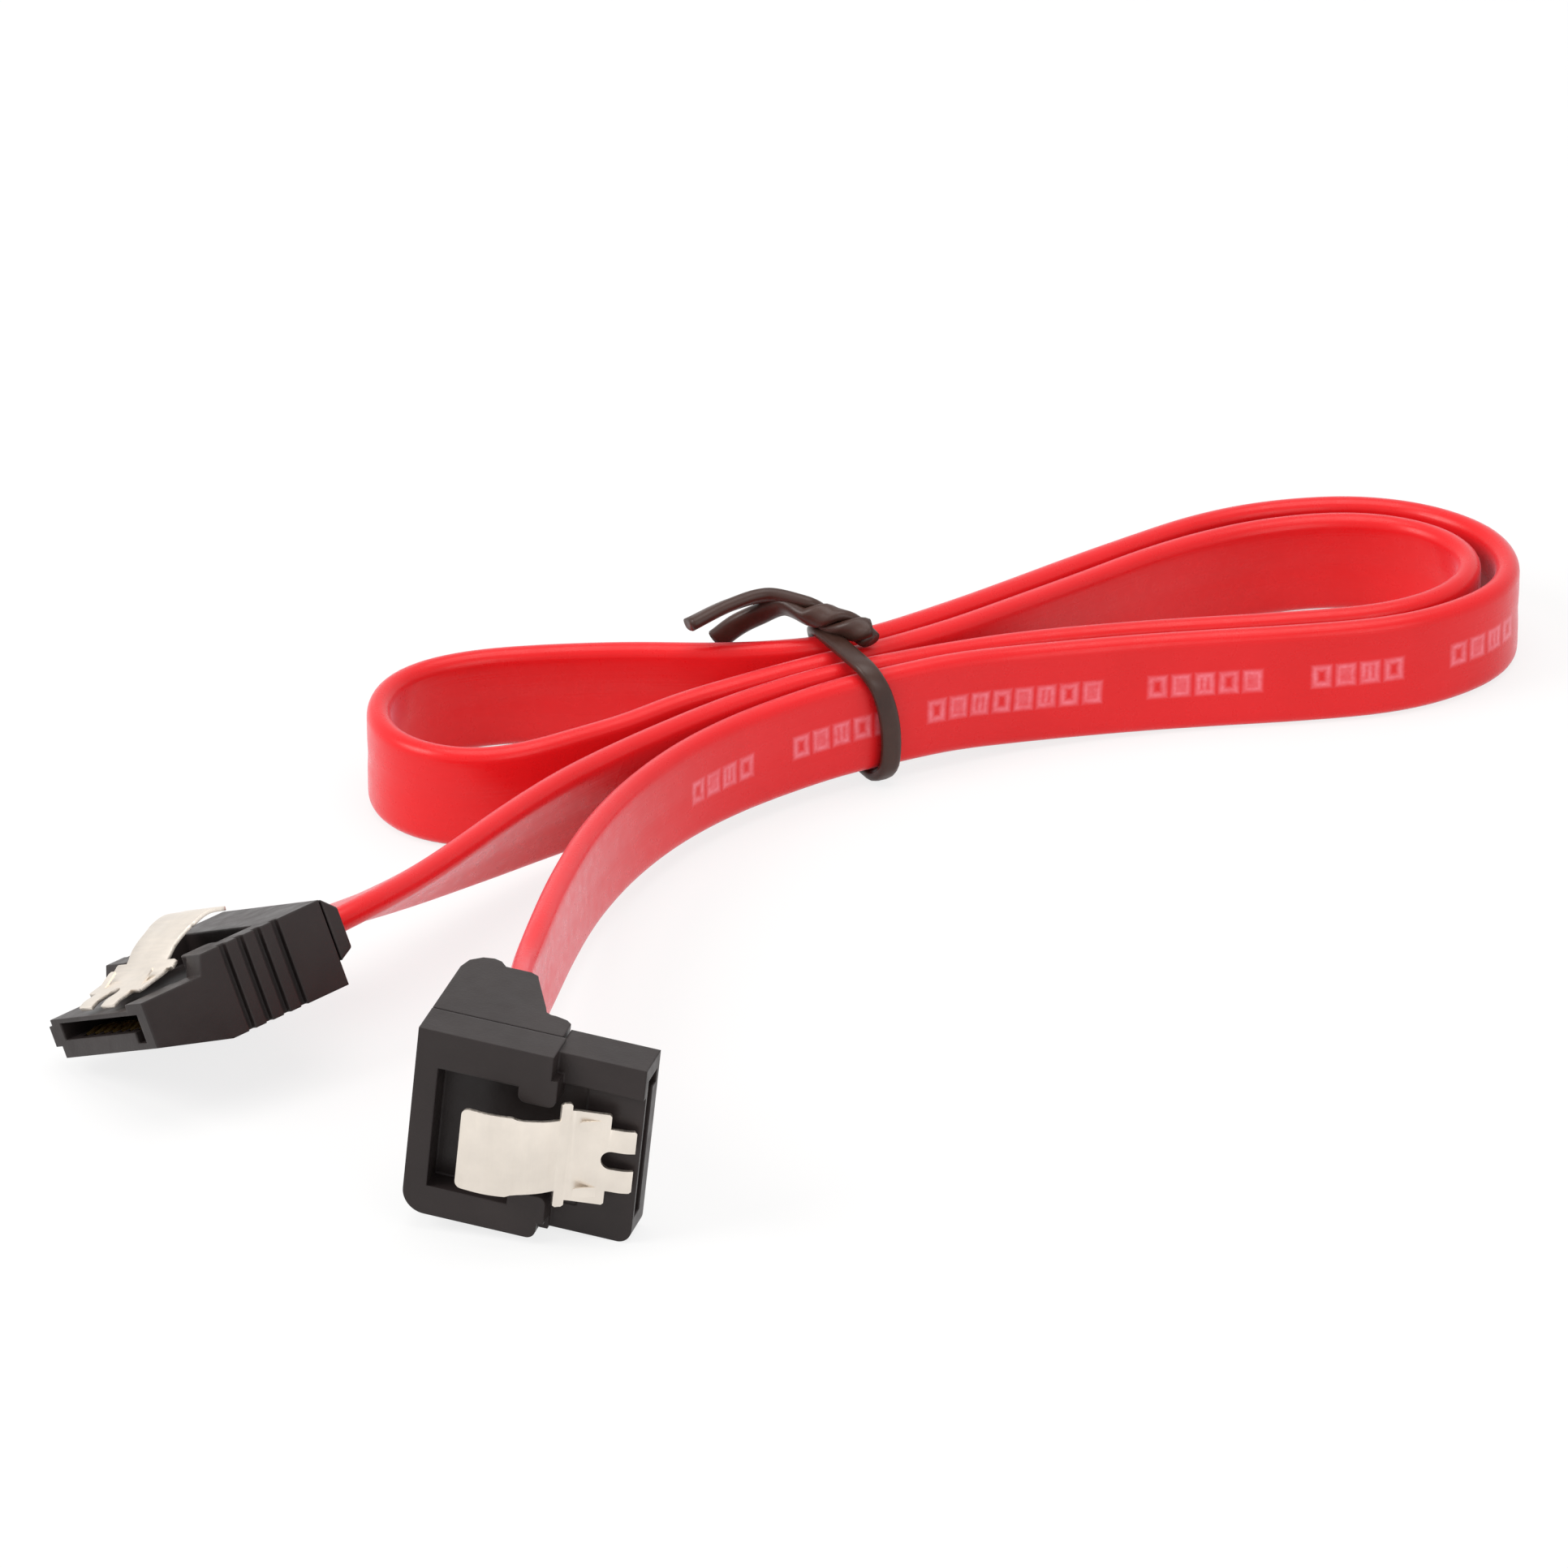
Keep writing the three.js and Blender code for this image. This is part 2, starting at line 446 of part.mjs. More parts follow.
// The rear cap closes the straight housing round the ribbon.
function straightCap() {
  const front = -STRAIGHT_LENGTH - SEAT_GAP;
  const back = front - CAP_LENGTH;
  const top = STRAIGHT_TOP;
  const profile = [
    [front, CAP_BOTTOM], [front, top], [back, top - CAP_CHAMFER], [back, CAP_BOTTOM + 0.6],
  ];
  const flange = sideProfile(profile, -halfBlock, halfBlock);
  const floor = STRAIGHT_BOTTOM + HOUSING_WALL + SEAT_GAP;
  const spigotHalf = cavityHalf - SEAT_GAP;
  const spigot = block([front - 0.5, front + CAP_SPIGOT], [-spigotHalf, spigotHalf], [floor + 1.2, cavityTop - SEAT_GAP]);
  const half = entryWidth / 2;
  const entry = [STRAIGHT_ENTRY_LEVEL - entryHeight / 2, STRAIGHT_ENTRY_LEVEL + entryHeight / 2];
  const mouth = block([back - 1, front + CAP_SPIGOT + 1], [-half, half], entry);
  return toMesh("straight_cap", flange.add(spigot).subtract(mouth), materials.housing);
}

function angledHousing() {
  const rear = -ANGLED_LENGTH;
  const step = -ANGLED_BLOCK_LENGTH;
  const outline = new THREE.Shape();
  outline.moveTo(step, ANGLED_UPPER_SIDE);
  outline.lineTo(rear, ANGLED_UPPER_SIDE);
  outline.lineTo(rear, -ANGLED_LOWER_SIDE + CORNER_RADIUS);
  outline.absarc(rear + CORNER_RADIUS, -ANGLED_LOWER_SIDE + CORNER_RADIUS, CORNER_RADIUS, Math.PI, 1.5 * Math.PI, false);
  outline.absarc(step - STEP_RADIUS, -ANGLED_LOWER_SIDE + STEP_RADIUS, STEP_RADIUS, 1.5 * Math.PI, 2 * Math.PI, false);
  const body = planOutline(outline, SEAM_LEVEL, ANGLED_TOP);
  const noseOutline = new THREE.Shape();
  noseOutline.moveTo(step - 1, ANGLED_BLOCK_UPPER);
  noseOutline.lineTo(0, ANGLED_BLOCK_UPPER);
  noseOutline.absarc(-NOSE_RADIUS, -ANGLED_BLOCK_LOWER + NOSE_RADIUS, NOSE_RADIUS, 0, -Math.PI / 2, true);
  noseOutline.lineTo(step - 1, -ANGLED_BLOCK_LOWER);
  const nose = planOutline(noseOutline, BLOCK_BOTTOM, BLOCK_TOP);
  const earSides = [ANGLED_LATCH_SIDE - POCKET_WIDTH / 2 - 1, ANGLED_LATCH_SIDE + POCKET_WIDTH / 2 + 1];
  const ears = block([step - 1, EAR_FRONT], earSides, [lipTop - 0.2, ANGLED_TOP]);
  const back = block([rear - 1, step - SEAT_GAP], [-ANGLED_LOWER_SIDE, ANGLED_LOWER_SIDE], [COVER_BACK, SEAM_LEVEL]);
  const chamber = block([rear + COVER_WALL, CARRIER_FRONT], [-cavityHalf, cavityHalf], [COVER_BACK, cavityTop]);
  const latchCuts = matingCuts(ANGLED_TOP, ANGLED_BLOCK_UPPER, EAR_FRONT, angledPocketRear, ANGLED_LATCH_SIDE);
  const solid = cutAll(body.add(nose).add(ears), [...latchCuts, back, chamber]);
  return toMesh("angled_housing", solid, materials.housing);
}

// The rear cover turns the cable through a right angle and carries its boss.
function angledCover() {
  const top = SEAM_LEVEL - SEAT_GAP;
  const front = -ANGLED_BLOCK_LENGTH - 2 * SEAT_GAP;
  const rear = -ANGLED_LENGTH;
  const bossFront = rear + BOSS_DEPTH;
  const bossFace = bossFront - BOSS_TAPER;
  const profile = [
    [front, top], [rear, top], [rear, BOSS_END + 1.4], [rear + 0.3, BOSS_END + 0.2],
    [rear + 1.1, BOSS_END - BOSS_LIP + 0.2], [rear + 1.9, BOSS_END - BOSS_LIP], [rear + 2.5, BOSS_END - BOSS_LIP + 0.2],
    [rear + 3, BOSS_END], [bossFace - 0.8, BOSS_END], [bossFace - 0.2, BOSS_END + 0.3], [bossFace, BOSS_END + 0.8],
    [bossFront, COVER_BACK - 0.8], [bossFront + 0.2, COVER_BACK - 0.25], [bossFront + 0.6, COVER_BACK],
    [front - 1.3, COVER_BACK], [front - 0.4, COVER_BACK + 0.25], [front, COVER_BACK + 0.65],
  ];
  const shell = sideProfile(profile, -ANGLED_LOWER_SIDE + 0.2, ANGLED_UPPER_SIDE);
  const half = entryWidth / 2;
  const ribbonSide = entryHeight / 2;
  const chamber = block([rear + COVER_WALL, front + 1], [-cavityHalf, cavityHalf], [carrierFloor, top + 1]);
  const well = block([rear + COVER_WALL, bossFace - COVER_WALL], [-half, half], [BOSS_END + COVER_WALL, carrierFloor + 1]);
  const place = angledRibbonPlace;
  const mouth = block([place - ribbonSide, place + ribbonSide], [-half, half], [BOSS_END - BOSS_LIP - 1, BOSS_END + 2]);
  return toMesh("angled_cover", cutAll(shell, [chamber, well, mouth]), materials.housing);
}

// A group that lies where the plug lies.
function plugGroup(lie, pieces) {
  const group = new THREE.Group();
  const [heading, pitch, roll] = lie.turn.map(THREE.MathUtils.degToRad);
  group.position.set(...lie.place);
  group.rotation.set(roll, pitch, heading, "ZYX");
  group.add(...pieces);
  group.updateMatrixWorld(true);
  return group;
}

// In the jacket the wires lie a little closer together than the contacts.
const jacketShare = (JACKET_WIDTH - 2 * WIRE_RADIUS.signal - 0.8) / (CONTACT_PITCH * CONTACT_COUNT);
const wireLevel = (radius) => CONTACT_LEVEL + CONTACT_THICKNESS / 2 + SEAT_GAP + radius;

function straightWirePath(y, radius) {
  const inJacket = y * jacketShare;
  const start = straightRibbonEnd + SEAT_GAP;
  return [
    new THREE.Vector3(start, inJacket, STRAIGHT_ENTRY_LEVEL - 0.8),
    new THREE.Vector3(start + 1.2, (inJacket + y) / 2, wireLevel(radius) - 0.05),
    new THREE.Vector3(start + 2.2, y, wireLevel(radius)),
    new THREE.Vector3(carrierBack.straight - 0.3, y, wireLevel(radius)),
  ];
}

function angledWirePath(y, radius) {
  const inJacket = y * jacketShare;
  const start = angledRibbonEnd + SEAT_GAP;
  const place = angledRibbonPlace;
  return [
    new THREE.Vector3(place, inJacket, start),
    new THREE.Vector3(place, (inJacket + y) / 2, start + 1.6),
    new THREE.Vector3(place + 0.6, y, wireLevel(radius) - 1),
    new THREE.Vector3(place + 1.6, y, wireLevel(radius)),
    new THREE.Vector3(carrierBack.angled - 0.3, y, wireLevel(radius)),
  ];
}

function straightPlug() {
  const inside = [...contacts("straight"), carrier("straight"), ...wires("straight", straightWirePath)];
  return plugGroup(STRAIGHT_LIE, [straightHousing(), straightCap(), latch("straight", STRAIGHT_PAD, 0), ...inside]);
}

function angledPlug() {
  const inside = [...contacts("angled"), carrier("angled"), ...wires("angled", angledWirePath)];
  return plugGroup(ANGLED_LIE, [angledHousing(), angledCover(), latch("angled", ANGLED_PAD, ANGLED_LATCH_SIDE), ...inside]);
}

// The ribbon is extruded straight, and each of its rings is then laid on its station of the route.
function ribbon(straight, angled) {
  const fromAngled = (x, z) => new THREE.Vector3(x, 0, z).applyMatrix4(angled.matrixWorld);
  const fromStraight = (x, z) => new THREE.Vector3(x, 0, z).applyMatrix4(straight.matrixWorld);
  const stops = [
    { place: fromAngled(angledRibbonPlace, angledRibbonEnd), twist: 1 },
    { place: fromAngled(angledRibbonPlace, BOSS_END - 0.5), twist: 1 },
    { place: fromAngled(angledRibbonPlace + 0.1, BOSS_END - 3), twist: 0.95 },
    ...ROUTE.map(([x, y, z, twist]) => ({ place: new THREE.Vector3(x, y, z), twist })),
    { place: fromStraight(-STRAIGHT_LENGTH - CAP_LENGTH - 3, STRAIGHT_ENTRY_LEVEL), twist: 0.95 },
    { place: fromStraight(-STRAIGHT_LENGTH - CAP_LENGTH - 0.5, STRAIGHT_ENTRY_LEVEL), twist: 1 },
    { place: fromStraight(straightRibbonEnd, STRAIGHT_ENTRY_LEVEL), twist: 1 },
  ];
  const line = new THREE.CatmullRomCurve3(stops.map((stop) => stop.place), false, "centripetal");
  const widthOf = (plug) => new THREE.Vector3(0, 1, 0).transformDirection(plug.matrixWorld);
  const upright = new THREE.Vector3(0, 0, 1);
  const last = stops.length - 1;
  const stationAt = (t) => {
    const along = line.getTangent(t).normalize();
    const before = Math.min(Math.floor(t * last), last - 1);
    const part = t * last - before;
    const twist = THREE.MathUtils.lerp(stops[before].twist, stops[before + 1].twist, part);
    const plugWidth = widthOf(t < 0.5 ? angled : straight);
    const width = upright.clone().lerp(plugWidth, twist);
    width.addScaledVector(along, -width.dot(along)).normalize();
    return { place: line.getPoint(t), along, width, across: new THREE.Vector3().crossVectors(width, along) };
  };
  const samples = 24 * last;
  const stations = [stationAt(0)];
  for (let i = 1; i < samples; i += 1) {
    const next = stationAt(i / samples);
    const from = stations[stations.length - 1];
    const turned = next.along.angleTo(from.along) + next.width.angleTo(from.width) / 2;
    if (turned > STEP_TURN || next.place.distanceTo(from.place) > STEP_RUN) stations.push(next);
  }
  stations.push(stationAt(1));

  const radius = JACKET_THICKNESS / 2;
  const flat = JACKET_WIDTH / 2 - radius;
  const section = new THREE.Shape();
  for (let i = 0; i < 2 * (JACKET_EDGE_SIDES + 1); i += 1) {
    const half = i <= JACKET_EDGE_SIDES ? 1 : -1;
    const angle = (Math.PI * (i - (half < 0 ? 1 : 0))) / JACKET_EDGE_SIDES;
    const corner = [radius * Math.cos(angle), radius * Math.sin(angle) + half * flat];
    if (i === 0) section.moveTo(...corner);
    else section.lineTo(...corner);
  }
  const steps = stations.length - 1;
  const geometry = new THREE.ExtrudeGeometry(section, { depth: steps, steps, bevelEnabled: false });
  const position = geometry.attributes.position;
  for (let i = 0; i < position.count; i += 1) {
    const station = stations[Math.round(position.getZ(i))];
    const place = station.place.clone();
    place.addScaledVector(station.across, position.getX(i));
    place.addScaledVector(station.width, position.getY(i));
    position.setXYZ(i, place.x, place.y, place.z);
  }
  return toMesh("ribbon_jacket", toSolid(geometry), materials.jacket);
}

// A wire-cored strap round the four strands, its two ends twisted together on top. Its loop is made
// upright, and leans back along the strands more and more towards its top.
function twistTie() {
  const rounded = (width, height, radius) => {
    const shape = new THREE.Shape();
    const x = width / 2 - radius;
    const y = height / 2 - radius;
    shape.absarc(x, y, radius, 0, Math.PI / 2, false);
    shape.absarc(-x, y, radius, Math.PI / 2, Math.PI, false);
    shape.absarc(-x, -y, radius, Math.PI, 1.5 * Math.PI, false);
    shape.absarc(x, -y, radius, 1.5 * Math.PI, 2 * Math.PI, false);
    shape.closePath();
    return new THREE.Shape(shape.getSpacedPoints(TIE_SIDES).slice(0, -1));
  };
  const across = new THREE.Vector3(-Math.sin(TIE_HEADING), Math.cos(TIE_HEADING), 0);
  const along = new THREE.Vector3(Math.cos(TIE_HEADING), Math.sin(TIE_HEADING), 0);
  const stand = new THREE.Matrix4().makeBasis(across, new THREE.Vector3(0, 0, 1), along);
  const loopPart = (grow, depth) => {
    const width = TIE_INNER_WIDTH + 2 * grow;
    const height = TIE_INNER_HEIGHT + 2 * grow;
    const outline = rounded(width, height, TIE_CORNER + grow);
    const geometry = new THREE.ExtrudeGeometry(outline, { depth, bevelEnabled: false });
    const position = geometry.attributes.position;
    for (let i = 0; i < position.count; i += 1) {
      const rise = position.getY(i) / TIE_INNER_HEIGHT + 0.5;
      const lean = TIE_FOOT - TIE_LEAN * rise ** 2 + 4 * TIE_BOW * rise * (1 - rise);
      position.setZ(i, position.getZ(i) - depth / 2 + lean);
    }
    geometry.applyMatrix4(stand);
    geometry.translate(TIE_CENTRE.x, TIE_CENTRE.y, TIE_CENTRE.z);
    return toSolid(geometry);
  };
  const loop = loopPart(TIE_THICKNESS, TIE_WIDTH).subtract(loopPart(0, TIE_WIDTH + 2));
  const top = TIE_CENTRE.z + TIE_INNER_HEIGHT / 2 + TIE_THICKNESS;
  const above = ([x, y, rise]) => new THREE.Vector3(x, y, top + rise);
  const section = new THREE.Shape();
  section.absellipse(0, 0, TIE_TAIL_WIDTH / 2, TIE_TAIL_THICKNESS / 2, 0, 2 * Math.PI, false, 0);
  const oval = new THREE.Shape(section.getPoints(4).slice(0, -1));
  const twisted = (phase) => [0, 0.25, 0.5, 0.75, 1].map((t) => {
    const angle = phase + t * TWIST_TURNS * 2 * Math.PI;
    const point = above(KNOT).lerp(above(TWIST_END), t);
    point.y += TWIST_RADIUS * Math.cos(angle);
    point.z += TWIST_RADIUS * Math.sin(angle);
    return point;
  });
  const highTail = [...twisted(0), ...HIGH_TAIL.map(above)];
  const lowTail = [...twisted(Math.PI), ...LOW_TAIL.map(above)];
  const solid = loop.add(tube(highTail, oval, 22)).add(tube(lowTail, oval, 24));
  return toMesh("twist_tie", solid, materials.tie);
}

const straight = straightPlug();
const angled = angledPlug();
const cable = new THREE.Group();
cable.add(straight, angled, ribbon(straight, angled), twistTie());

// Stand the whole on z = 0, with the origin under the middle of its box.
const box = new THREE.Box3().setFromObject(cable, true);
cable.position.set(-(box.min.x + box.max.x) / 2, -(box.min.y + box.max.y) / 2, -box.min.z);

export default cable;
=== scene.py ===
import math

import bmesh
import bpy
import numpy as np
from mathutils import Matrix, Vector


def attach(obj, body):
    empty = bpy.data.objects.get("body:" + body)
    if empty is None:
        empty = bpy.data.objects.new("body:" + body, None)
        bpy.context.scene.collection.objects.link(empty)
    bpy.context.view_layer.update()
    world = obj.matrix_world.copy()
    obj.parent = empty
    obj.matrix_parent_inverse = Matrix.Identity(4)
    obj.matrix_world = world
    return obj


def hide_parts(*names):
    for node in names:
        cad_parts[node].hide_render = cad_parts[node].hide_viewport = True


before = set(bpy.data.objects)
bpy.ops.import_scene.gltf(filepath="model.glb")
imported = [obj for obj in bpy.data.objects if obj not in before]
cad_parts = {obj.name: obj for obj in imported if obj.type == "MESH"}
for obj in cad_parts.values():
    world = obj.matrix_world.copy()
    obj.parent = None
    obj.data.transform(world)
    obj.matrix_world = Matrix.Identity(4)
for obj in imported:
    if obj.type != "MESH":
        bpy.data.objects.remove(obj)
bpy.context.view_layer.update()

# Lengths below are in millimetres in the route's own frame, as in the part's source, and are turned into
# metres where a mesh is made. SHIFT is where that frame's origin lies in the part's frame.
MM = 0.001
SHIFT = np.array([-2.0403, 19.2969, 0.0051])

JACKET_WIDTH = 8.2
JACKET_THICKNESS = 1.9

# How each plug lies: the place of its mouth, and its heading, pitch and roll in degrees. In a plug's own
# frame x runs out of its mouth, y along its slot and z towards its latch.
STRAIGHT_LIE = ((-49.65, -50.53, 5.85), (-139.9, 4.2, 26.3))
ANGLED_LIE = ((-9.94, -71.2, 7.5), (-15.8, 5.8, 88.9))

# Where the ribbon runs in the plugs' own frames
ANGLED_RIBBON_PLACE = -13.3
ANGLED_RIBBON_END = -5.8
BOSS_END = -8.4
STRAIGHT_BACK = -18.1
STRAIGHT_RIBBON_END = -15.9
STRAIGHT_ENTRY_LEVEL = 0.2

# Outside a plug the ribbon runs straight for EXIT_RUN. At EXIT_TURN it has begun to untwist, and at the
# right-angled plug to lean forward.
EXIT_RUN = 0.5
EXIT_TURN = 3
EXIT_TWIST = 0.95
EXIT_LEAN = 0.1

# The ribbon's route from the right-angled plug to the straight one: x, y, z of its middle, and how far
# its width has twisted from upright towards the width of the plug that it is near.
ROUTE = [
    [-19, -49.4, 7.1, 0.5], [-17.7, -41.7, 6.8, 0], [-16.3, -33.8, 6.3, 0], [-14.4, -25.8, 5.8, 0],
    [-11.6, -18.2, 5.4, 0], [-7.9, -11.7, 5.2, 0], [-3.8, -6.8, 5.1, 0], [0.8, -2.9, 5.1, 0],
    [4.6, -0.4, 5.2, 0], [8.6, 1.7, 5.2, 0], [12.8, 3.9, 5.1, 0], [18, 6.3, 4.6, 0],
    [27.3, 9, 4.2, 0], [34, 10.2, 4.1, 0], [40, 11, 4.1, 0], [46.2, 12.2, 4.1, 0],
    [49.8, 13.6, 4.1, 0], [52.8, 15.6, 4.1, 0], [55.4, 18.2, 4.1, 0], [56.8, 21.4, 4.1, 0],
    [56.8, 25, 4.1, 0], [55.7, 28.2, 4.1, 0], [53.5, 30.8, 4.1, 0], [50.5, 32.8, 4.1, 0],
    [47, 33.9, 4.1, 0], [43.4, 34.1, 4.1, 0], [37.4, 32.9, 4.1, 0], [32.4, 30.5, 4.1, 0],
    [27.5, 26.7, 4.2, 0], [22.6, 22.4, 4.4, 0], [17.7, 17.7, 4.7, 0], [12.6, 13, 5, 0],
    [5.8, 7.7, 5.3, 0], [1.2, 6.3, 5.2, 0], [-4.2, 6.4, 4.8, 0], [-12.9, 7.5, 4.3, 0],
    [-20.6, 7.2, 4.1, 0], [-24.6, 6.3, 4.1, 0], [-27.9, 4.6, 4.1, 0], [-30.1, 2.1, 4.1, 0],
    [-31, -1, 4.1, 0], [-30.9, -4.2, 4.1, 0], [-29.8, -7, 4.1, 0], [-27.8, -9, 4.1, 0],
    [-25.2, -10.1, 4.1, 0], [-22.5, -10.2, 4.1, 0], [-19.5, -9.4, 4.2, 0], [-16, -7.4, 4.3, 0],
    [-12, -5, 4.4, 0], [-8.2, -2.3, 4.7, 0], [-4.2, 0, 4.9, 0], [2, 3.4, 5.1, 0],
    [6.7, 5.7, 5.2, 0], [12.9, 10.1, 5, 0], [18.1, 14.8, 4.7, 0], [23.4, 19.9, 4.3, 0],
    [28.7, 24.5, 4.2, 0], [33.4, 27.8, 4.1, 0], [38.2, 30, 4.1, 0], [43.6, 31.1, 4.1, 0],
    [47.6, 30.7, 4.1, 0], [50.9, 29.1, 4.1, 0], [53.2, 26.5, 4.1, 0], [54, 23.4, 4.1, 0],
    [53.1, 20.1, 4.1, 0], [50.8, 17.2, 4.1, 0], [46.6, 14.8, 4.1, 0], [40, 13.4, 4.1, 0],
    [27, 11.3, 4.2, 0], [17.3, 8.4, 4.6, 0], [7.7, 3.8, 5.1, 0], [3, 1.6, 5.1, 0],
    [-1, -1, 5.1, 0], [-5, -4, 5.1, 0.02], [-9, -7.4, 5.1, 0.08], [-13, -11.1, 5.2, 0.16],
    [-17.6, -16, 5.5, 0.3], [-22.4, -22, 5.9, 0.48], [-27.6, -29, 6.5, 0.72],
]


# Camera, at the photograph's viewing angle

ELEVATION = math.radians(27)
CAMERA_DISTANCE = 0.85

camera_data = bpy.data.cameras.new("camera")
camera_data.lens = 253.4
camera_data.sensor_width = 36
camera_data.clip_end = 20
camera = bpy.data.objects.new("camera", camera_data)
bpy.context.scene.collection.objects.link(camera)
towards_camera = Vector((0, -math.cos(ELEVATION), math.sin(ELEVATION)))
camera.location = Vector(SHIFT * MM) + CAMERA_DISTANCE * towards_camera
camera.rotation_euler = (math.pi / 2 - ELEVATION, 0, 0)
bpy.context.scene.camera = camera
bpy.context.scene.view_settings.view_transform = "Standard"


# Mesh helpers

def plug_matrix(lie):
    """Takes a plug's own frame, in mm, to the route's frame, in mm."""
    place, (heading, pitch, roll) = lie
    turn = Matrix.Rotation(math.radians(heading), 4, "Z")
    turn = turn @ Matrix.Rotation(math.radians(pitch), 4, "Y") @ Matrix.Rotation(math.radians(roll), 4, "X")
    return np.array(Matrix.Translation(place) @ turn)


def moved(matrix, points):
    points = np.atleast_2d(np.asarray(points, float))
    return points @ matrix[:3, :3].T + matrix[:3, 3]


def to_metres(points):
    """Points of the route's frame, in mm, to the part's frame, in metres."""
    return (np.asarray(points, float) + SHIFT) * MM


def new_object(name, vertices, faces, smooth=True):
    mesh = bpy.data.meshes.new(name)
    mesh.from_pydata([tuple(v) for v in to_metres(vertices)], [], [tuple(f) for f in faces])
    mesh.validate()
    made = bpy.data.objects.new(name, mesh)
    bpy.context.scene.collection.objects.link(made)
    if smooth:
        mesh.shade_smooth()
    return made


def centripetal(points, per_step):
    """A smooth curve through the points, as the part's source draws it."""
    points = np.asarray(points, float)
    ends = np.vstack([2 * points[0] - points[1], points, 2 * points[-1] - points[-2]])
    out = []
    for i in range(len(points) - 1):
        p0, p1, p2, p3 = ends[i:i + 4]
        d0, d1, d2 = (
            math.sqrt(np.linalg.norm(b[:3] - a[:3])) for a, b in ((p0, p1), (p1, p2), (p2, p3))
        )
        m1 = ((p1 - p0) / d0 - (p2 - p0) / (d0 + d1) + (p2 - p1) / d1) * d1
        m2 = ((p2 - p1) / d1 - (p3 - p1) / (d1 + d2) + (p3 - p2) / d2) * d1
        for t in np.arange(per_step) / per_step:
            out.append(
                p1 + m1 * t + (3 * (p2 - p1) - 2 * m1 - m2) * t ** 2 + (2 * (p1 - p2) + m1 + m2) * t ** 3
            )
    out.append(points[-1])
    return np.array(out)


def evenly(points, step):
    """The curve again, with points about step apart, and each point's length along it."""
    run = np.concatenate([[0], np.cumsum(np.linalg.norm(np.diff(points[:, :3], axis=0), axis=1))])
    at = np.linspace(0, run[-1], int(round(run[-1] / step)) + 1)
    return np.stack([np.interp(at, run, points[:, k]) for k in range(points.shape[1])], axis=1), at


def softened(values, rounds):
    """Evens out small changes of curvature, with the ends kept."""
    values = values.copy()
    for _ in range(rounds):
        values[1:-1] = 0.25 * values[:-2] + 0.5 * values[1:-1] + 0.25 * values[2:]
    return values


def unit(vectors):
    return vectors / np.linalg.norm(vectors, axis=-1, keepdims=True)


def arc(cx, cy, radius, start, end, count):
    """Points of a flat arc. Its angles are in degrees."""
    return [
        (cx + radius * math.cos(a), cy + radius * math.sin(a))
        for a in np.radians(np.linspace(start, end, count))
    ]


def swept(rings, closed=False):
    """Vertices and faces of a tube through the rings, which all have as many points."""
    count, sides = len(rings), len(rings[0])
    faces = []
    for i in range(count if closed else count - 1):
        a, b = i * sides, ((i + 1) % count) * sides
        for j in range(sides):
            k = (j + 1) % sides
            faces.append((a + j, a + k, b + k, b + j))
    if not closed:
        faces.append(tuple(range(sides))[::-1])
        faces.append(tuple(range((count - 1) * sides, count * sides)))
    return np.concatenate(rings), faces


def joined(meshes):
    """Vertices and faces of several meshes as one."""
    vertices, faces = [], []
    for more, more_faces in meshes:
        start = sum(len(v) for v in vertices)
        vertices.append(more)
        faces += [tuple(i + start for i in face) for face in more_faces]
    return np.concatenate(vertices), faces


# Material helpers

NOISE_ROUGHNESS = 0.55

# Most of a noise's values lie between these.
NOISE_LOW = 0.3
NOISE_HIGH = 0.7


def new_material(name, colour, roughness, metallic=0.0, specular=0.5):
    material = bpy.data.materials.new(name)
    material.use_nodes = True
    shader = material.node_tree.nodes["Principled BSDF"]
    shader.inputs["Base Color"].default_value = (*colour, 1)
    shader.inputs["Roughness"].default_value = roughness
    shader.inputs["Metallic"].default_value = metallic
    shader.inputs["Specular IOR Level"].default_value = specular
    return material, shader


def shaded(colour, factor):
    return tuple(factor * c for c in colour)


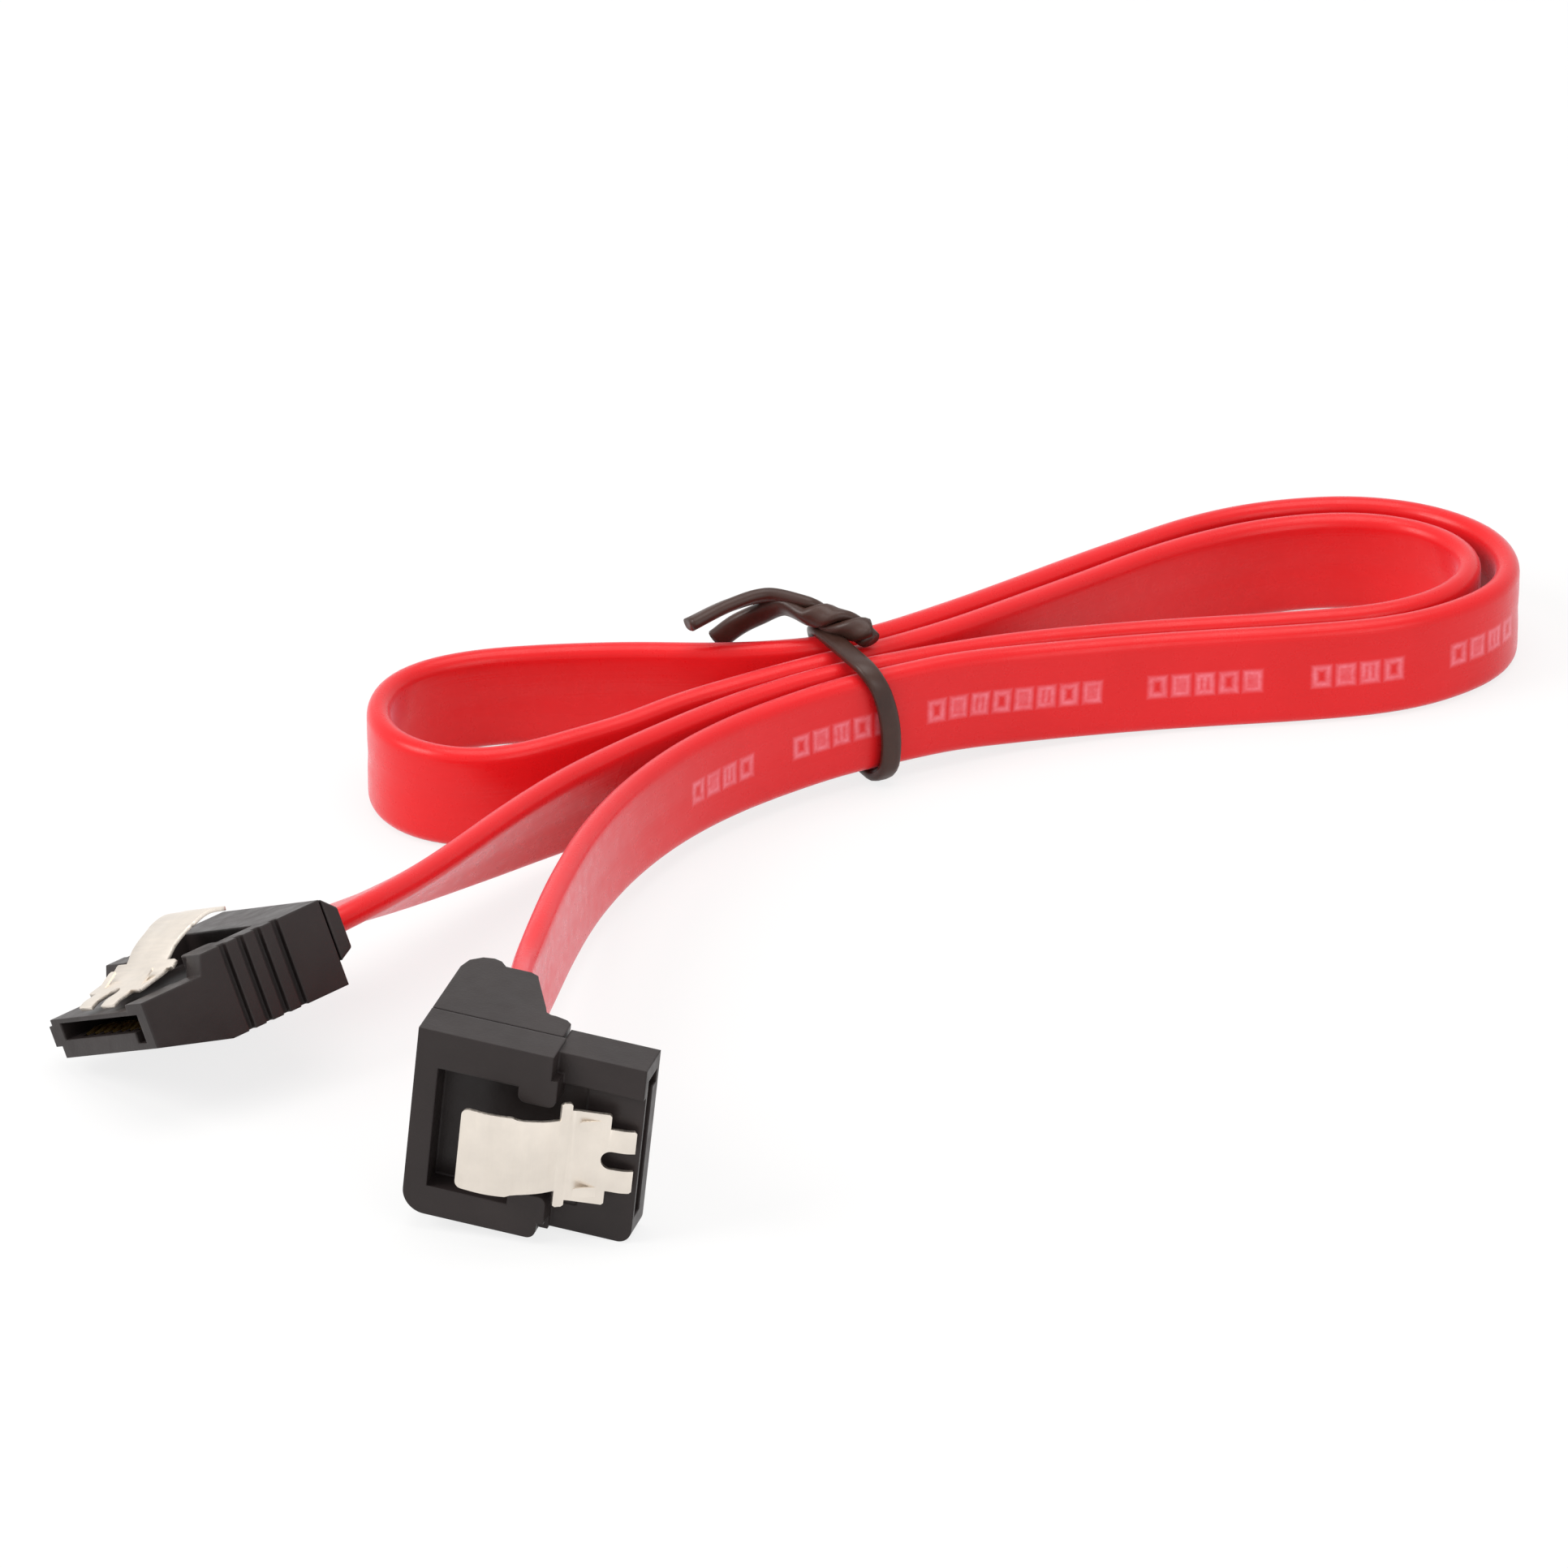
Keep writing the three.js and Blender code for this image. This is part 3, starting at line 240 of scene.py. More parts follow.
class Nodes:
    """Short calls for building a node tree."""

    def __init__(self, material):
        self.tree = material.node_tree

    def add(self, kind, **settings):
        node = self.tree.nodes.new(kind)
        for key, value in settings.items():
            setattr(node, key, value)
        return node

    def link(self, source, target):
        self.tree.links.new(source, target)

    def put(self, socket, value):
        if hasattr(value, "is_linked"):
            self.link(value, socket)
        else:
            socket.default_value = value

    def math(self, operation, *values):
        node = self.add("ShaderNodeMath", operation=operation)
        for socket, value in zip(node.inputs, values):
            self.put(socket, value)
        return node.outputs[0]

    def object_place(self):
        """Place on the part, in metres."""
        return self.add("ShaderNodeTexCoord").outputs["Object"]

    def stretched(self, place, factors):
        node = self.add("ShaderNodeVectorMath", operation="MULTIPLY")
        self.link(place, node.inputs[0])
        node.inputs[1].default_value = factors
        return node.outputs[0]

    def noise(self, place, scale, detail):
        node = self.add("ShaderNodeTexNoise")
        node.inputs["Scale"].default_value = scale
        node.inputs["Detail"].default_value = detail
        node.inputs["Roughness"].default_value = NOISE_ROUGHNESS
        self.link(place, node.inputs["Vector"])
        return node.outputs["Fac"]

    def remap(self, value, from_low, from_high, low, high, **settings):
        node = self.add("ShaderNodeMapRange", **settings)
        node.inputs["From Min"].default_value = from_low
        node.inputs["From Max"].default_value = from_high
        node.inputs["To Min"].default_value = low
        node.inputs["To Max"].default_value = high
        self.link(value, node.inputs["Value"])
        return node.outputs[0]

    def part_noise(self, scale, detail):
        """Noise over the part, its scale in waves per metre."""
        return self.noise(self.object_place(), scale, detail)

    def spread(self, noise, low, high):
        """Spreads a noise over a range of numbers."""
        return self.remap(noise, NOISE_LOW, NOISE_HIGH, low, high)

    def mix(self, factor, first, second):
        node = self.add("ShaderNodeMix", data_type="RGBA")
        self.put(node.inputs[0], factor)
        # A mix node has its colours at 6 and 7, and gives one at 2.
        for socket, colour in ((node.inputs[6], first), (node.inputs[7], second)):
            self.put(socket, colour if hasattr(colour, "is_linked") else (*colour, 1))
        return node.outputs[2]

    def bump(self, height, strength, distance, below=None):
        """Relief from a height. The distance is in mm."""
        node = self.add("ShaderNodeBump")
        node.inputs["Strength"].default_value = strength
        node.inputs["Distance"].default_value = distance * MM
        self.link(height, node.inputs["Height"])
        if below is not None:
            self.link(below, node.inputs["Normal"])
        return node.outputs[0]


# Ribbon

RIBBON_STEP = 0.8
POINTS_PER_STOP = 40
BEND_SOFTENING = 6
TWIST_SOFTENING = 40
EDGE_POINTS = 11
FACE_POINTS = 11
DIP_DEPTH = 0.05
DIP_HALF_WIDTH = 0.8

# Groups of plain marks printed along the ribbon: the place of the first, in mm from the ribbon's end in
# the right-angled plug, and how many
PRINT_GROUPS = [(52.9, 4), (64.2, 5), (76.4, 8), (95, 5), (108, 4), (119.3, 4)]
PRINT_PITCH = 1.9
PRINT_WIDTH = 1.4
PRINT_HEIGHT = 1.75
PRINT_STROKE = 0.38
PRINT_BLUR = 0.28
PRINT_COLOUR = (0.95, 0.26, 0.32)

# How strong a filled box is, and how far below the level of its face the ribbon is still printed
PRINT_FILL = 0.55
PRINT_DEPTH = 0.12

JACKET_RED = (0.79, 0.01, 0.012)
JACKET_DARK = (0.72, 0.008, 0.01)
JACKET_PALE = (0.79, 0.012, 0.016)

straight_frame = plug_matrix(STRAIGHT_LIE)
angled_frame = plug_matrix(ANGLED_LIE)


def ribbon_stops():
    """Place and twist of each stop of the ribbon's middle line."""
    def at(matrix, x, z, twist):
        return [*moved(matrix, (x, 0, z))[0], twist]

    leaving = [
        at(angled_frame, ANGLED_RIBBON_PLACE, ANGLED_RIBBON_END, 1),
        at(angled_frame, ANGLED_RIBBON_PLACE, BOSS_END - EXIT_RUN, 1),
        at(angled_frame, ANGLED_RIBBON_PLACE + EXIT_LEAN, BOSS_END - EXIT_TURN, EXIT_TWIST),
    ]
    arriving = [
        at(straight_frame, STRAIGHT_BACK - EXIT_TURN, STRAIGHT_ENTRY_LEVEL, EXIT_TWIST),
        at(straight_frame, STRAIGHT_BACK - EXIT_RUN, STRAIGHT_ENTRY_LEVEL, 1),
        at(straight_frame, STRAIGHT_RIBBON_END, STRAIGHT_ENTRY_LEVEL, 1),
    ]
    return np.array(leaving + ROUTE + arriving, float)


def dip(y):
    """Depth of the faint dip between the two wire pairs, at y from the ribbon's middle."""
    return DIP_DEPTH * math.exp(-((y / DIP_HALF_WIDTH) ** 2))


def ribbon_section():
    """Full-round edges, and flat faces with a faint dip."""
    radius = JACKET_THICKNESS / 2
    flat = JACKET_WIDTH / 2 - radius
    angles = np.linspace(0, math.pi, EDGE_POINTS)
    top = [(radius * math.cos(a), flat + radius * math.sin(a)) for a in angles]
    side_heights = np.linspace(flat, -flat, FACE_POINTS + 2)[1:-1]
    left = [(-radius + dip(y), y) for y in side_heights]
    return np.array(top + left + [(-x, -y) for x, y in top] + [(-x, -y) for x, y in left])


def ribbon_mesh():
    stops = ribbon_stops()
    fine = centripetal(stops[:, :3], POINTS_PER_STOP)
    index = np.linspace(0, len(stops) - 1, len(fine))
    twist = np.interp(index, np.arange(len(stops)), stops[:, 3])
    line, along_at = evenly(np.column_stack([fine, twist]), RIBBON_STEP)
    places = softened(line[:, :3], BEND_SOFTENING)
    twist = softened(line[:, 3], TWIST_SOFTENING)[:, None]
    along = unit(np.gradient(places, axis=0))
    in_first_half = (np.arange(len(places)) < len(places) // 2)[:, None]
    plug_width = np.where(in_first_half, angled_frame[:3, 1], straight_frame[:3, 1])
    width = np.array([0, 0, 1]) * (1 - twist) + plug_width * twist
    width = unit(width - (width * along).sum(1)[:, None] * along)
    across = np.cross(width, along)
    section = ribbon_section()
    rings = [
        places[i] + section[:, :1] * across[i] + section[:, 1:] * width[i] for i in range(len(places))
    ]
    made = new_object("ribbon", *swept(rings))
    # The material reads each point's place along the ribbon, over its width and through its thickness.
    where = made.data.attributes.new("ribbon_place", "FLOAT_VECTOR", "POINT")
    values = np.concatenate([
        np.column_stack([np.full(len(section), s), section[:, 1], section[:, 0]]) for s in along_at
    ])
    where.data.foreach_set("vector", values.ravel())
    return made, places


def print_marks(n, length, height, side):
    """1 on the printed marks: groups of open, filled and split boxes by turns, on one face."""
    def inside_edge(distance):
        """1 inside and 0 outside an edge at distance 0, with a soft change between."""
        return n.remap(distance, PRINT_BLUR, -PRINT_BLUR, 0, 1, interpolation_type="SMOOTHSTEP")

    begin, inside = 0, 0
    for first, marks in PRINT_GROUPS:
        reached = n.math("GREATER_THAN", length, first)
        begin = n.math("MAXIMUM", n.math("MULTIPLY", reached, first), begin)
        half_run = marks * PRINT_PITCH / 2
        inside = n.math("MAXIMUM", n.math("COMPARE", length, first + half_run, half_run), inside)

    cell = n.math("DIVIDE", n.math("SUBTRACT", length, begin), PRINT_PITCH)
    kind = n.math("MODULO", n.math("FLOOR", cell), 3)
    from_middle = n.math("MULTIPLY_ADD", n.math("FRACT", cell), PRINT_PITCH, -PRINT_PITCH / 2)
    off_side = n.math("ABSOLUTE", from_middle)
    beyond_side = n.math("SUBTRACT", off_side, PRINT_WIDTH / 2)
    beyond_top = n.math("SUBTRACT", n.math("ABSOLUTE", height), PRINT_HEIGHT / 2)
    outer = n.math("MAXIMUM", beyond_side, beyond_top)

    off_stroke = n.math("ABSOLUTE", n.math("ADD", outer, PRINT_STROKE / 2))
    ring = inside_edge(n.math("SUBTRACT", off_stroke, PRINT_STROKE / 2))
    fill = n.math("MULTIPLY", n.math("COMPARE", kind, 1, 0.5), PRINT_FILL)
    filled = n.math("MULTIPLY", inside_edge(outer), fill)
    bar = inside_edge(n.math("MAXIMUM", n.math("SUBTRACT", off_side, PRINT_STROKE / 2), beyond_top))
    split = n.math("MULTIPLY", bar, n.math("COMPARE", kind, 2, 0.5))
    mark = n.math("MAXIMUM", ring, n.math("MAXIMUM", filled, split))
    face = n.math("LESS_THAN", side, -0.5 * JACKET_THICKNESS + PRINT_DEPTH)
    return n.math("MULTIPLY", n.math("MULTIPLY", mark, inside), face)


def jacket_material():
    material, shader = new_material("jacket", JACKET_RED, roughness=0.3, specular=0.28)
    shader.inputs["Sheen Weight"].default_value = 0.4
    shader.inputs["Sheen Roughness"].default_value = 0.4
    shader.inputs["Sheen Tint"].default_value = (1, 0.62, 0.75, 1)
    n = Nodes(material)
    place = n.add("ShaderNodeAttribute", attribute_name="ribbon_place").outputs["Vector"]
    parts = n.add("ShaderNodeSeparateXYZ")
    n.link(place, parts.inputs[0])

    worn = n.spread(n.noise(place, 1.6, 4), 0.4, 0.85)
    printed = n.math("MULTIPLY", print_marks(n, *parts.outputs), worn)
    drift = n.spread(n.part_noise(70, 3), 0, 1)
    red = n.mix(drift, JACKET_DARK, JACKET_PALE)
    n.link(n.mix(printed, red, PRINT_COLOUR), shader.inputs["Base Color"])
    n.link(n.spread(n.part_noise(900, 3), 0.24, 0.36), shader.inputs["Roughness"])

    # Fine lines that the extrusion leaves along the jacket, and a fine grain
    lines = n.noise(n.stretched(place, (0.03, 3.2, 3.2)), 1.6, 3)
    grain = n.part_noise(5200, 2)
    normal = n.bump(lines, 0.25, 0.06)
    n.link(n.bump(grain, 0.2, 0.02, normal), shader.inputs["Normal"])
    return material


ribbon, ribbon_line = ribbon_mesh()
ribbon.data.materials.append(jacket_material())
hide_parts("ribbon_jacket")
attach(ribbon, "cable")


# Plastics and metals

HOUSING_EDGE = 0.22
CAP_EDGE = 0.2
COVER_EDGE = 0.25
WELD_DISTANCE = 0.005
CONTACT_COUNT = 7
GROUND_WIRES = (1, 4, 7)

HOUSING_BLACK = (0.025, 0.019, 0.0185)
CARRIER_BLACK = (0.014, 0.012, 0.012)
INSULATION_WHITE = (0.7, 0.67, 0.62)
STEEL = (0.82, 0.75, 0.67)
GOLD = (0.69, 0.45, 0.15)
TIN = (0.72, 0.7, 0.66)


def plastic_material(name, colour, roughness, grain, specular=0.5, rounding=0):
    """Moulded plastic. Its edges take the light as if rounded by that radius, in mm."""
    material, shader = new_material(name, colour, roughness, specular=specular)
    n = Nodes(material)
    drift = n.spread(n.part_noise(160, 4), 0, 1)
    n.link(n.mix(drift, shaded(colour, 0.85), shaded(colour, 1.2)), shader.inputs["Base Color"])
    gloss = n.spread(n.part_noise(700, 4), roughness - 0.07, roughness + 0.07)
    n.link(gloss, shader.inputs["Roughness"])
    edges = None
    if rounding:
        rounded = n.add("ShaderNodeBevel", samples=6)
        rounded.inputs["Radius"].default_value = rounding * MM
        edges = rounded.outputs[0]
    normal = n.bump(n.part_noise(4200, 3), grain, 0.03, edges)
    waves = n.part_noise(260, 2)
    n.link(n.bump(waves, 0.25, 0.1, normal), shader.inputs["Normal"])
    return material


def metal_material(name, colour, roughness, lie, brushed):
    """Metal with fine lines that run across the plug."""
    material, shader = new_material(name, colour, roughness, metallic=1.0)
    n = Nodes(material)
    heading, pitch, roll = (math.radians(a) for a in lie[1])
    turned = n.add("ShaderNodeVectorRotate", rotation_type="EULER_XYZ", invert=True)
    turned.inputs["Rotation"].default_value = (roll, pitch, heading)
    n.link(n.object_place(), turned.inputs["Vector"])
    lines = n.noise(n.stretched(turned.outputs[0], (1, 0.06, 1)), 5200, 3)
    cloud = n.spread(n.part_noise(420, 4), 0, 1)
    n.link(n.mix(cloud, shaded(colour, 0.9), colour), shader.inputs["Base Color"])
    n.link(n.spread(lines, roughness - 0.06, roughness + 0.08), shader.inputs["Roughness"])
    n.link(n.bump(lines, brushed, 0.02), shader.inputs["Normal"])
    return material


housing = plastic_material(
    "housing", HOUSING_BLACK, roughness=0.4, grain=0.35, specular=0.26, rounding=HOUSING_EDGE
)
carrier = plastic_material("carrier", CARRIER_BLACK, roughness=0.6, grain=0.3, specular=0.2)
insulation = plastic_material("wire_insulation", INSULATION_WHITE, roughness=0.5, grain=0.2)
latch_steel = {
    "straight": metal_material("latch_steel_straight", STEEL, roughness=0.4, lie=STRAIGHT_LIE, brushed=0.3),
    "angled": metal_material("latch_steel_angled", STEEL, roughness=0.4, lie=ANGLED_LIE, brushed=0.3),
}
gold = metal_material("contact_gold", GOLD, roughness=0.32, lie=STRAIGHT_LIE, brushed=0.15)
tin = metal_material("tinned_wire", TIN, roughness=0.35, lie=STRAIGHT_LIE, brushed=0.15)


def add_bevel(made, width, segments, least_angle):
    """Rounds the edges that turn by more than the least angle, in degrees. The width is in mm."""
    bevel = made.modifiers.new("edge", "BEVEL")
    bevel.width = width * MM
    bevel.segments = segments
    bevel.limit_method = "ANGLE"
    bevel.angle_limit = math.radians(least_angle)


def finish_node(name, material, edge=None):
    """Gives a CAD node its material and, where edge is given, softly moulded edges of that size in mm."""
    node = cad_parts[name]
    node.data.materials.clear()
    node.data.materials.append(material)
    if edge:
        weld = node.modifiers.new("weld", "WELD")
        weld.merge_threshold = WELD_DISTANCE * MM
        flat = node.modifiers.new("flat", "DECIMATE")
        flat.decimate_type = "DISSOLVE"
        flat.angle_limit = math.radians(1)
        add_bevel(node, edge, segments=3, least_angle=35)


for plug in ("straight", "angled"):
    finish_node(f"{plug}_housing", housing, HOUSING_EDGE)
    finish_node(f"{plug}_contact_carrier", carrier)
    for i in range(1, CONTACT_COUNT + 1):
        finish_node(f"{plug}_contact_{i}", gold)
        if i in GROUND_WIRES:
            finish_node(f"{plug}_ground_wire_{i}", tin)
        else:
            finish_node(f"{plug}_signal_wire_{i}", insulation)
finish_node("straight_cap", housing, CAP_EDGE)
finish_node("angled_cover", housing, COVER_EDGE)


# Latches, in their plugs' own frames

LATCH_THICKNESS = 0.3
LATCH_EDGE = 0.05
LATCH_SLICE = 0.2
LATCH_CURVE_POINTS = 12

# The plan: places along the plug, and the sheet's half widths of the fork, plate, wing, neck and pad
TIP = -0.25
FORK_LENGTH = 1.8
FORK_SLOT = 1.45
FORK_SLOT_DEEPER = 0.5
CREASE = -5.2
WING_LENGTH = 0.7
NECK_END = -8.6
FORK = 2.5
PLATE = 3.65
WING = 4.2
NECK = 2.9
PAD = 3.2
CORNER = 0.15
PAD_CORNER = 0.5
PAD_OVERRUN = 0.15

# How the wing's root eases into the neck, and the neck flares into the pad: lengths and changes of width
ROOT_RUN = 0.9
ROOT_EASE = 0.05
FLARE_RUN = 0.8
FLARE_EASE = 0.08
FLARE_LAST = 0.35

# The side view: levels, and the bends as how far each lies behind the tip or the crease and above it
TIP_LEVEL = 1.45
CREASE_LEVEL = 2.55
CROWN = 4.95
TIP_BENDS = [(0, 0), (0.6, 0.25), (1.6, 0.4)]
PLATE_BEND = (-3.5, 2.16)
CREASE_BENDS = [(-0.3, -0.08), (0.35, 0.35)]
PAD_FOOT = (1.3, 1.25)

# Each pad's places, and how far it lies below its crown there. Then the latch's side in the plug.
PADS = {
    "straight": ([(-8.2, 0.45), (-9.9, 0), (-11.5, 0.3)], 0, STRAIGHT_LIE),
    "angled": ([(-8.2, 0.4), (-10, 0), (-12.1, 0.1)], -0.7, ANGLED_LIE),
}

# A barb is a bent strip: place, level and half width from its root to its end.
BARB_STRIP = [(-2.55, 2.0, 0.38), (-2.9, 2.2, 0.4), (-3.4, 2.5, 0.4), (-3.9, 2.78, 0.38), (-4.1, 2.86, 0.3)]
BARB_SIDE = 2.7
BARB_HALF_THICKNESS = 0.09


def latch_outline(pad_end):
    """One half of the latch's plan, from the fork's tip back to the pad's end, on the positive side."""
    fork_root = TIP - FORK_LENGTH
    wing_back = CREASE - WING_LENGTH / 2
    wing_front = wing_back + WING_LENGTH
    fork = [(TIP, FORK - CORNER), (TIP - CORNER, FORK), (fork_root, FORK)]
    plate = [(fork_root, PLATE - CORNER), (fork_root - CORNER, PLATE), (wing_front, PLATE)]
    wing = [
        (wing_front, WING - CORNER), (wing_front - CORNER, WING),
        (wing_back + CORNER, WING), (wing_back, WING - CORNER),
    ]
    neck = [
        (wing_back, NECK - ROOT_EASE), (wing_back - ROOT_RUN, NECK),
        (NECK_END + FLARE_RUN, NECK + FLARE_EASE), (NECK_END + FLARE_LAST, PAD - CORNER),
    ]
    pad = [(NECK_END, PAD)]
    pad += arc(pad_end + PAD_CORNER, PAD - PAD_CORNER, PAD_CORNER, 90, 180, count=6)
    return fork + plate + wing + neck + pad


def latch_slot():
    """The fork's slot on the positive side, from its round end to the tip."""
    radius = FORK_SLOT / 2
    end = TIP - FORK_LENGTH + radius - FORK_SLOT_DEEPER
    return arc(end, 0, radius, 180, 90, count=7) + [(TIP, radius)]


def latch_profile(pad):
    """The sheet's middle, seen from the side, from the fork's tip to the pad's end."""
    bends = [(TIP - back, TIP_LEVEL + rise) for back, rise in TIP_BENDS]
    bends.append(PLATE_BEND)
    bends += [(CREASE - back, CREASE_LEVEL + rise) for back, rise in CREASE_BENDS]
    bends.append((CREASE - PAD_FOOT[0], CROWN - PAD_FOOT[1]))
    bends += [(x, CROWN - drop) for x, drop in pad]
    curve = centripetal([(x, 0, z) for x, z in bends], LATCH_CURVE_POINTS)
    return curve[:, 0], curve[:, 2]


def latch_mesh(plug, lie, pad, middle_side):
    """The stamped sheet: its flat outline, sliced across, bent to its profile and given its thickness."""
    pad_end = pad[-1][0] - PAD_OVERRUN
    right = latch_slot() + latch_outline(pad_end)
    outline = right + [(x, -y) for x, y in reversed(right)][:-1]
    mesh = bmesh.new()
    mesh.faces.new([mesh.verts.new((x, y, 0)) for x, y in outline])
    for x in np.arange(pad_end + LATCH_SLICE, TIP, LATCH_SLICE):
        everything = mesh.verts[:] + mesh.edges[:] + mesh.faces[:]
        bmesh.ops.bisect_plane(mesh, geom=everything, plane_co=(x, 0, 0), plane_no=(1, 0, 0))

    xs, levels = latch_profile(pad)
    matrix = plug_matrix(lie)
    for vertex in mesh.verts:
        x, y, _ = vertex.co
        level = float(np.interp(-x, -xs, levels))
        vertex.co = Vector(to_metres(moved(matrix, (x, y + middle_side, level)))[0])
    bmesh.ops.recalc_face_normals(mesh, faces=mesh.faces[:])
    mesh.faces.ensure_lookup_table()
    if mesh.faces[0].normal.dot(Vector(matrix[:3, 2])) < 0:
        bmesh.ops.reverse_faces(mesh, faces=mesh.faces[:])

    data = bpy.data.meshes.new(f"{plug}_latch_spring")
    mesh.to_mesh(data)
    mesh.free()
    data.shade_smooth()
    made = bpy.data.objects.new(f"{plug}_latch_spring", data)
    bpy.context.scene.collection.objects.link(made)
    sheet = made.modifiers.new("sheet", "SOLIDIFY")
    sheet.thickness = LATCH_THICKNESS * MM
    sheet.offset = 0
    add_bevel(made, LATCH_EDGE, segments=2, least_angle=50)
    return made


def barb_mesh(plug, lie, middle_side):
    """Two small lanced tabs on the latch's plate, each rising towards the pad."""
    matrix = plug_matrix(lie)
    barbs = []
    for hand in (-1, 1):
        y = hand * BARB_SIDE + middle_side
        rings = []
        for x, z, half in BARB_STRIP:
            low, high = z - BARB_HALF_THICKNESS, z + BARB_HALF_THICKNESS
            ring = [(x, y - half, low), (x, y + half, low), (x, y + half, high), (x, y - half, high)]
            rings.append(moved(matrix, ring))
        barbs.append(swept(rings))
    return new_object(f"{plug}_latch_barbs", *joined(barbs), smooth=False)


for plug, (pad, side, lie) in PADS.items():
    spring = latch_mesh(plug, lie, pad, side)
    spring.data.materials.append(latch_steel[plug])
    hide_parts(f"{plug}_latch")
    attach(spring, f"{plug}_latch")
    barbs = barb_mesh(plug, lie, side)
    barbs.data.materials.append(latch_steel[plug])
    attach(barbs, f"{plug}_latch")


# Twist tie

TIE_BROWN = (0.045, 0.019, 0.014)
TIE_DARK = (0.038, 0.016, 0.012)
TIE_PALE = (0.056, 0.026, 0.019)

TIE_CENTRE = np.array([5.83, 4.2, 5.23])
TIE_HEADING = math.radians(27)
TIE_INNER = (9.7, 8.85)
TIE_WIDTH = 1.6
TIE_THICKNESS = 0.8
TIE_CORNER = 1.5
TIE_STEP = 0.5
STRAP_SIDES = 14
TIE_TOP = TIE_CENTRE[2] + TIE_INNER[1] / 2 + TIE_THICKNESS

# How far the loop stands forward at its foot, leans back at its top and bows forward between
TIE_FOOT = -0.3
TIE_LEAN = 1.1
TIE_BOW = 0.5

# The two ends are twisted together from KNOT to TWIST_END, and then run free: x, y and the rise above the
# top of the loop. TAIL_TURN is how far a free end still turns, in radians.
KNOT = (6.7, 4.5, 0.2)
TWIST_END = (1.8, 6.7, 1.1)
TWIST_TURNS = 0.85
TWIST_RADIUS = 0.55
HIGH_TAIL = [(-1.3, 8, 1.8), (-4.2, 6.9, 1.5), (-7.3, 5.1, 0.7)]
LOW_TAIL = [(-0.1, 7.8, 1), (-2, 8.5, -0.1), (-3.6, 8.8, -1.1), (-5.2, 9.2, -2.6)]
TAIL_HALF_WIDTH = 0.9
TAIL_HALF_THICKNESS = 0.53
TAIL_TURN = 0.6
TAIL_STEP = 0.35
TAIL_CURVE_POINTS = 14
TWIST_STOPS = 9


def above_tie(place):
    return np.array([place[0], place[1], TIE_TOP + place[2]])


def oval(half_width, half_thickness, power):
    """A rounded strap section. It is the more square, the lower the power."""
    out = []
    for a in np.linspace(0, 2 * math.pi, STRAP_SIDES, endpoint=False):
        c, s = math.cos(a), math.sin(a)
        x = math.copysign(abs(c) ** power, c) * half_width
        out.append((x, math.copysign(abs(s) ** power, s) * half_thickness))
    return np.array(out)


def tie_outline():
    """The loop's middle line, seen along the strands: a box with round corners."""
    radius = TIE_CORNER + TIE_THICKNESS / 2
    flat = (np.array(TIE_INNER) + TIE_THICKNESS) / 2 - radius
    outline = []
    for corner, signs in enumerate([(1, 1), (-1, 1), (-1, -1), (1, -1)]):
        x, y = flat * signs
        outline += arc(x, y, radius, 90 * corner, 90 * corner + 90, count=7)
    outline.append(outline[0])
    return evenly(np.array(outline), TIE_STEP)[0][:-1]


def tie_loop():
    """The loop stands round the strands and leans back along them, more and more towards its top."""
    across = np.array([-math.sin(TIE_HEADING), math.cos(TIE_HEADING), 0])
    along = np.array([math.cos(TIE_HEADING), math.sin(TIE_HEADING), 0])
    up = np.array([0, 0, 1])
    outline = tie_outline()
    ahead = np.roll(outline, -1, axis=0) - np.roll(outline, 1, axis=0)
    normals = unit(np.column_stack([ahead[:, 1], -ahead[:, 0]]))
    section = oval(TIE_WIDTH / 2, TIE_THICKNESS / 2, 0.6)
    rings = []
    for point, normal in zip(outline, normals):
        rise = point[1] / TIE_INNER[1] + 0.5
        lean = TIE_FOOT - TIE_LEAN * rise ** 2 + 4 * TIE_BOW * rise * (1 - rise)
        place = TIE_CENTRE + point[0] * across + point[1] * up + lean * along
        outward = normal[0] * across + normal[1] * up
        rings.append(place + section[:, :1] * along + section[:, 1:] * outward)
    return swept(rings, closed=True)


def tie_tail(phase, rest, turn):
    """One end of the tie: twisted with the other over the strands, and then free."""
    points = []
    for t in np.linspace(0, 1, TWIST_STOPS):
        angle = phase + t * TWIST_TURNS * 2 * math.pi
        middle = above_tie(KNOT) * (1 - t) + above_tie(TWIST_END) * t
        swing = TWIST_RADIUS * np.array([0, math.cos(angle), math.sin(angle)])
        points.append([*(middle + swing), angle + math.pi / 2])
    last = points[-1][3]
    for i, place in enumerate(rest):
        points.append([*above_tie(place), last + turn * (i + 1) / len(rest)])
    line, _ = evenly(centripetal(points, TAIL_CURVE_POINTS), TAIL_STEP)
    along = unit(np.gradient(line[:, :3], axis=0))
    side = unit(np.cross(along, [0, 0, 1]))
    over = np.cross(side, along)
    section = oval(TAIL_HALF_WIDTH, TAIL_HALF_THICKNESS, 0.75)
    rings = []
    for i, (x, y, z, angle) in enumerate(line):
        flat = math.cos(angle) * side[i] + math.sin(angle) * over[i]
        thick = np.cross(along[i], flat)
        rings.append(np.array([x, y, z]) + section[:, :1] * flat + section[:, 1:] * thick)
    return swept(rings)


def tie_material():
    material, shader = new_material("tie", TIE_BROWN, roughness=0.36, specular=0.32)
    n = Nodes(material)
    drift = n.spread(n.part_noise(350, 4), 0, 1)
    n.link(n.mix(drift, TIE_DARK, TIE_PALE), shader.inputs["Base Color"])
    n.link(n.spread(n.part_noise(900, 3), 0.28, 0.45), shader.inputs["Roughness"])
    n.link(n.bump(n.part_noise(2600, 3), 0.3, 0.04), shader.inputs["Normal"])
    return material


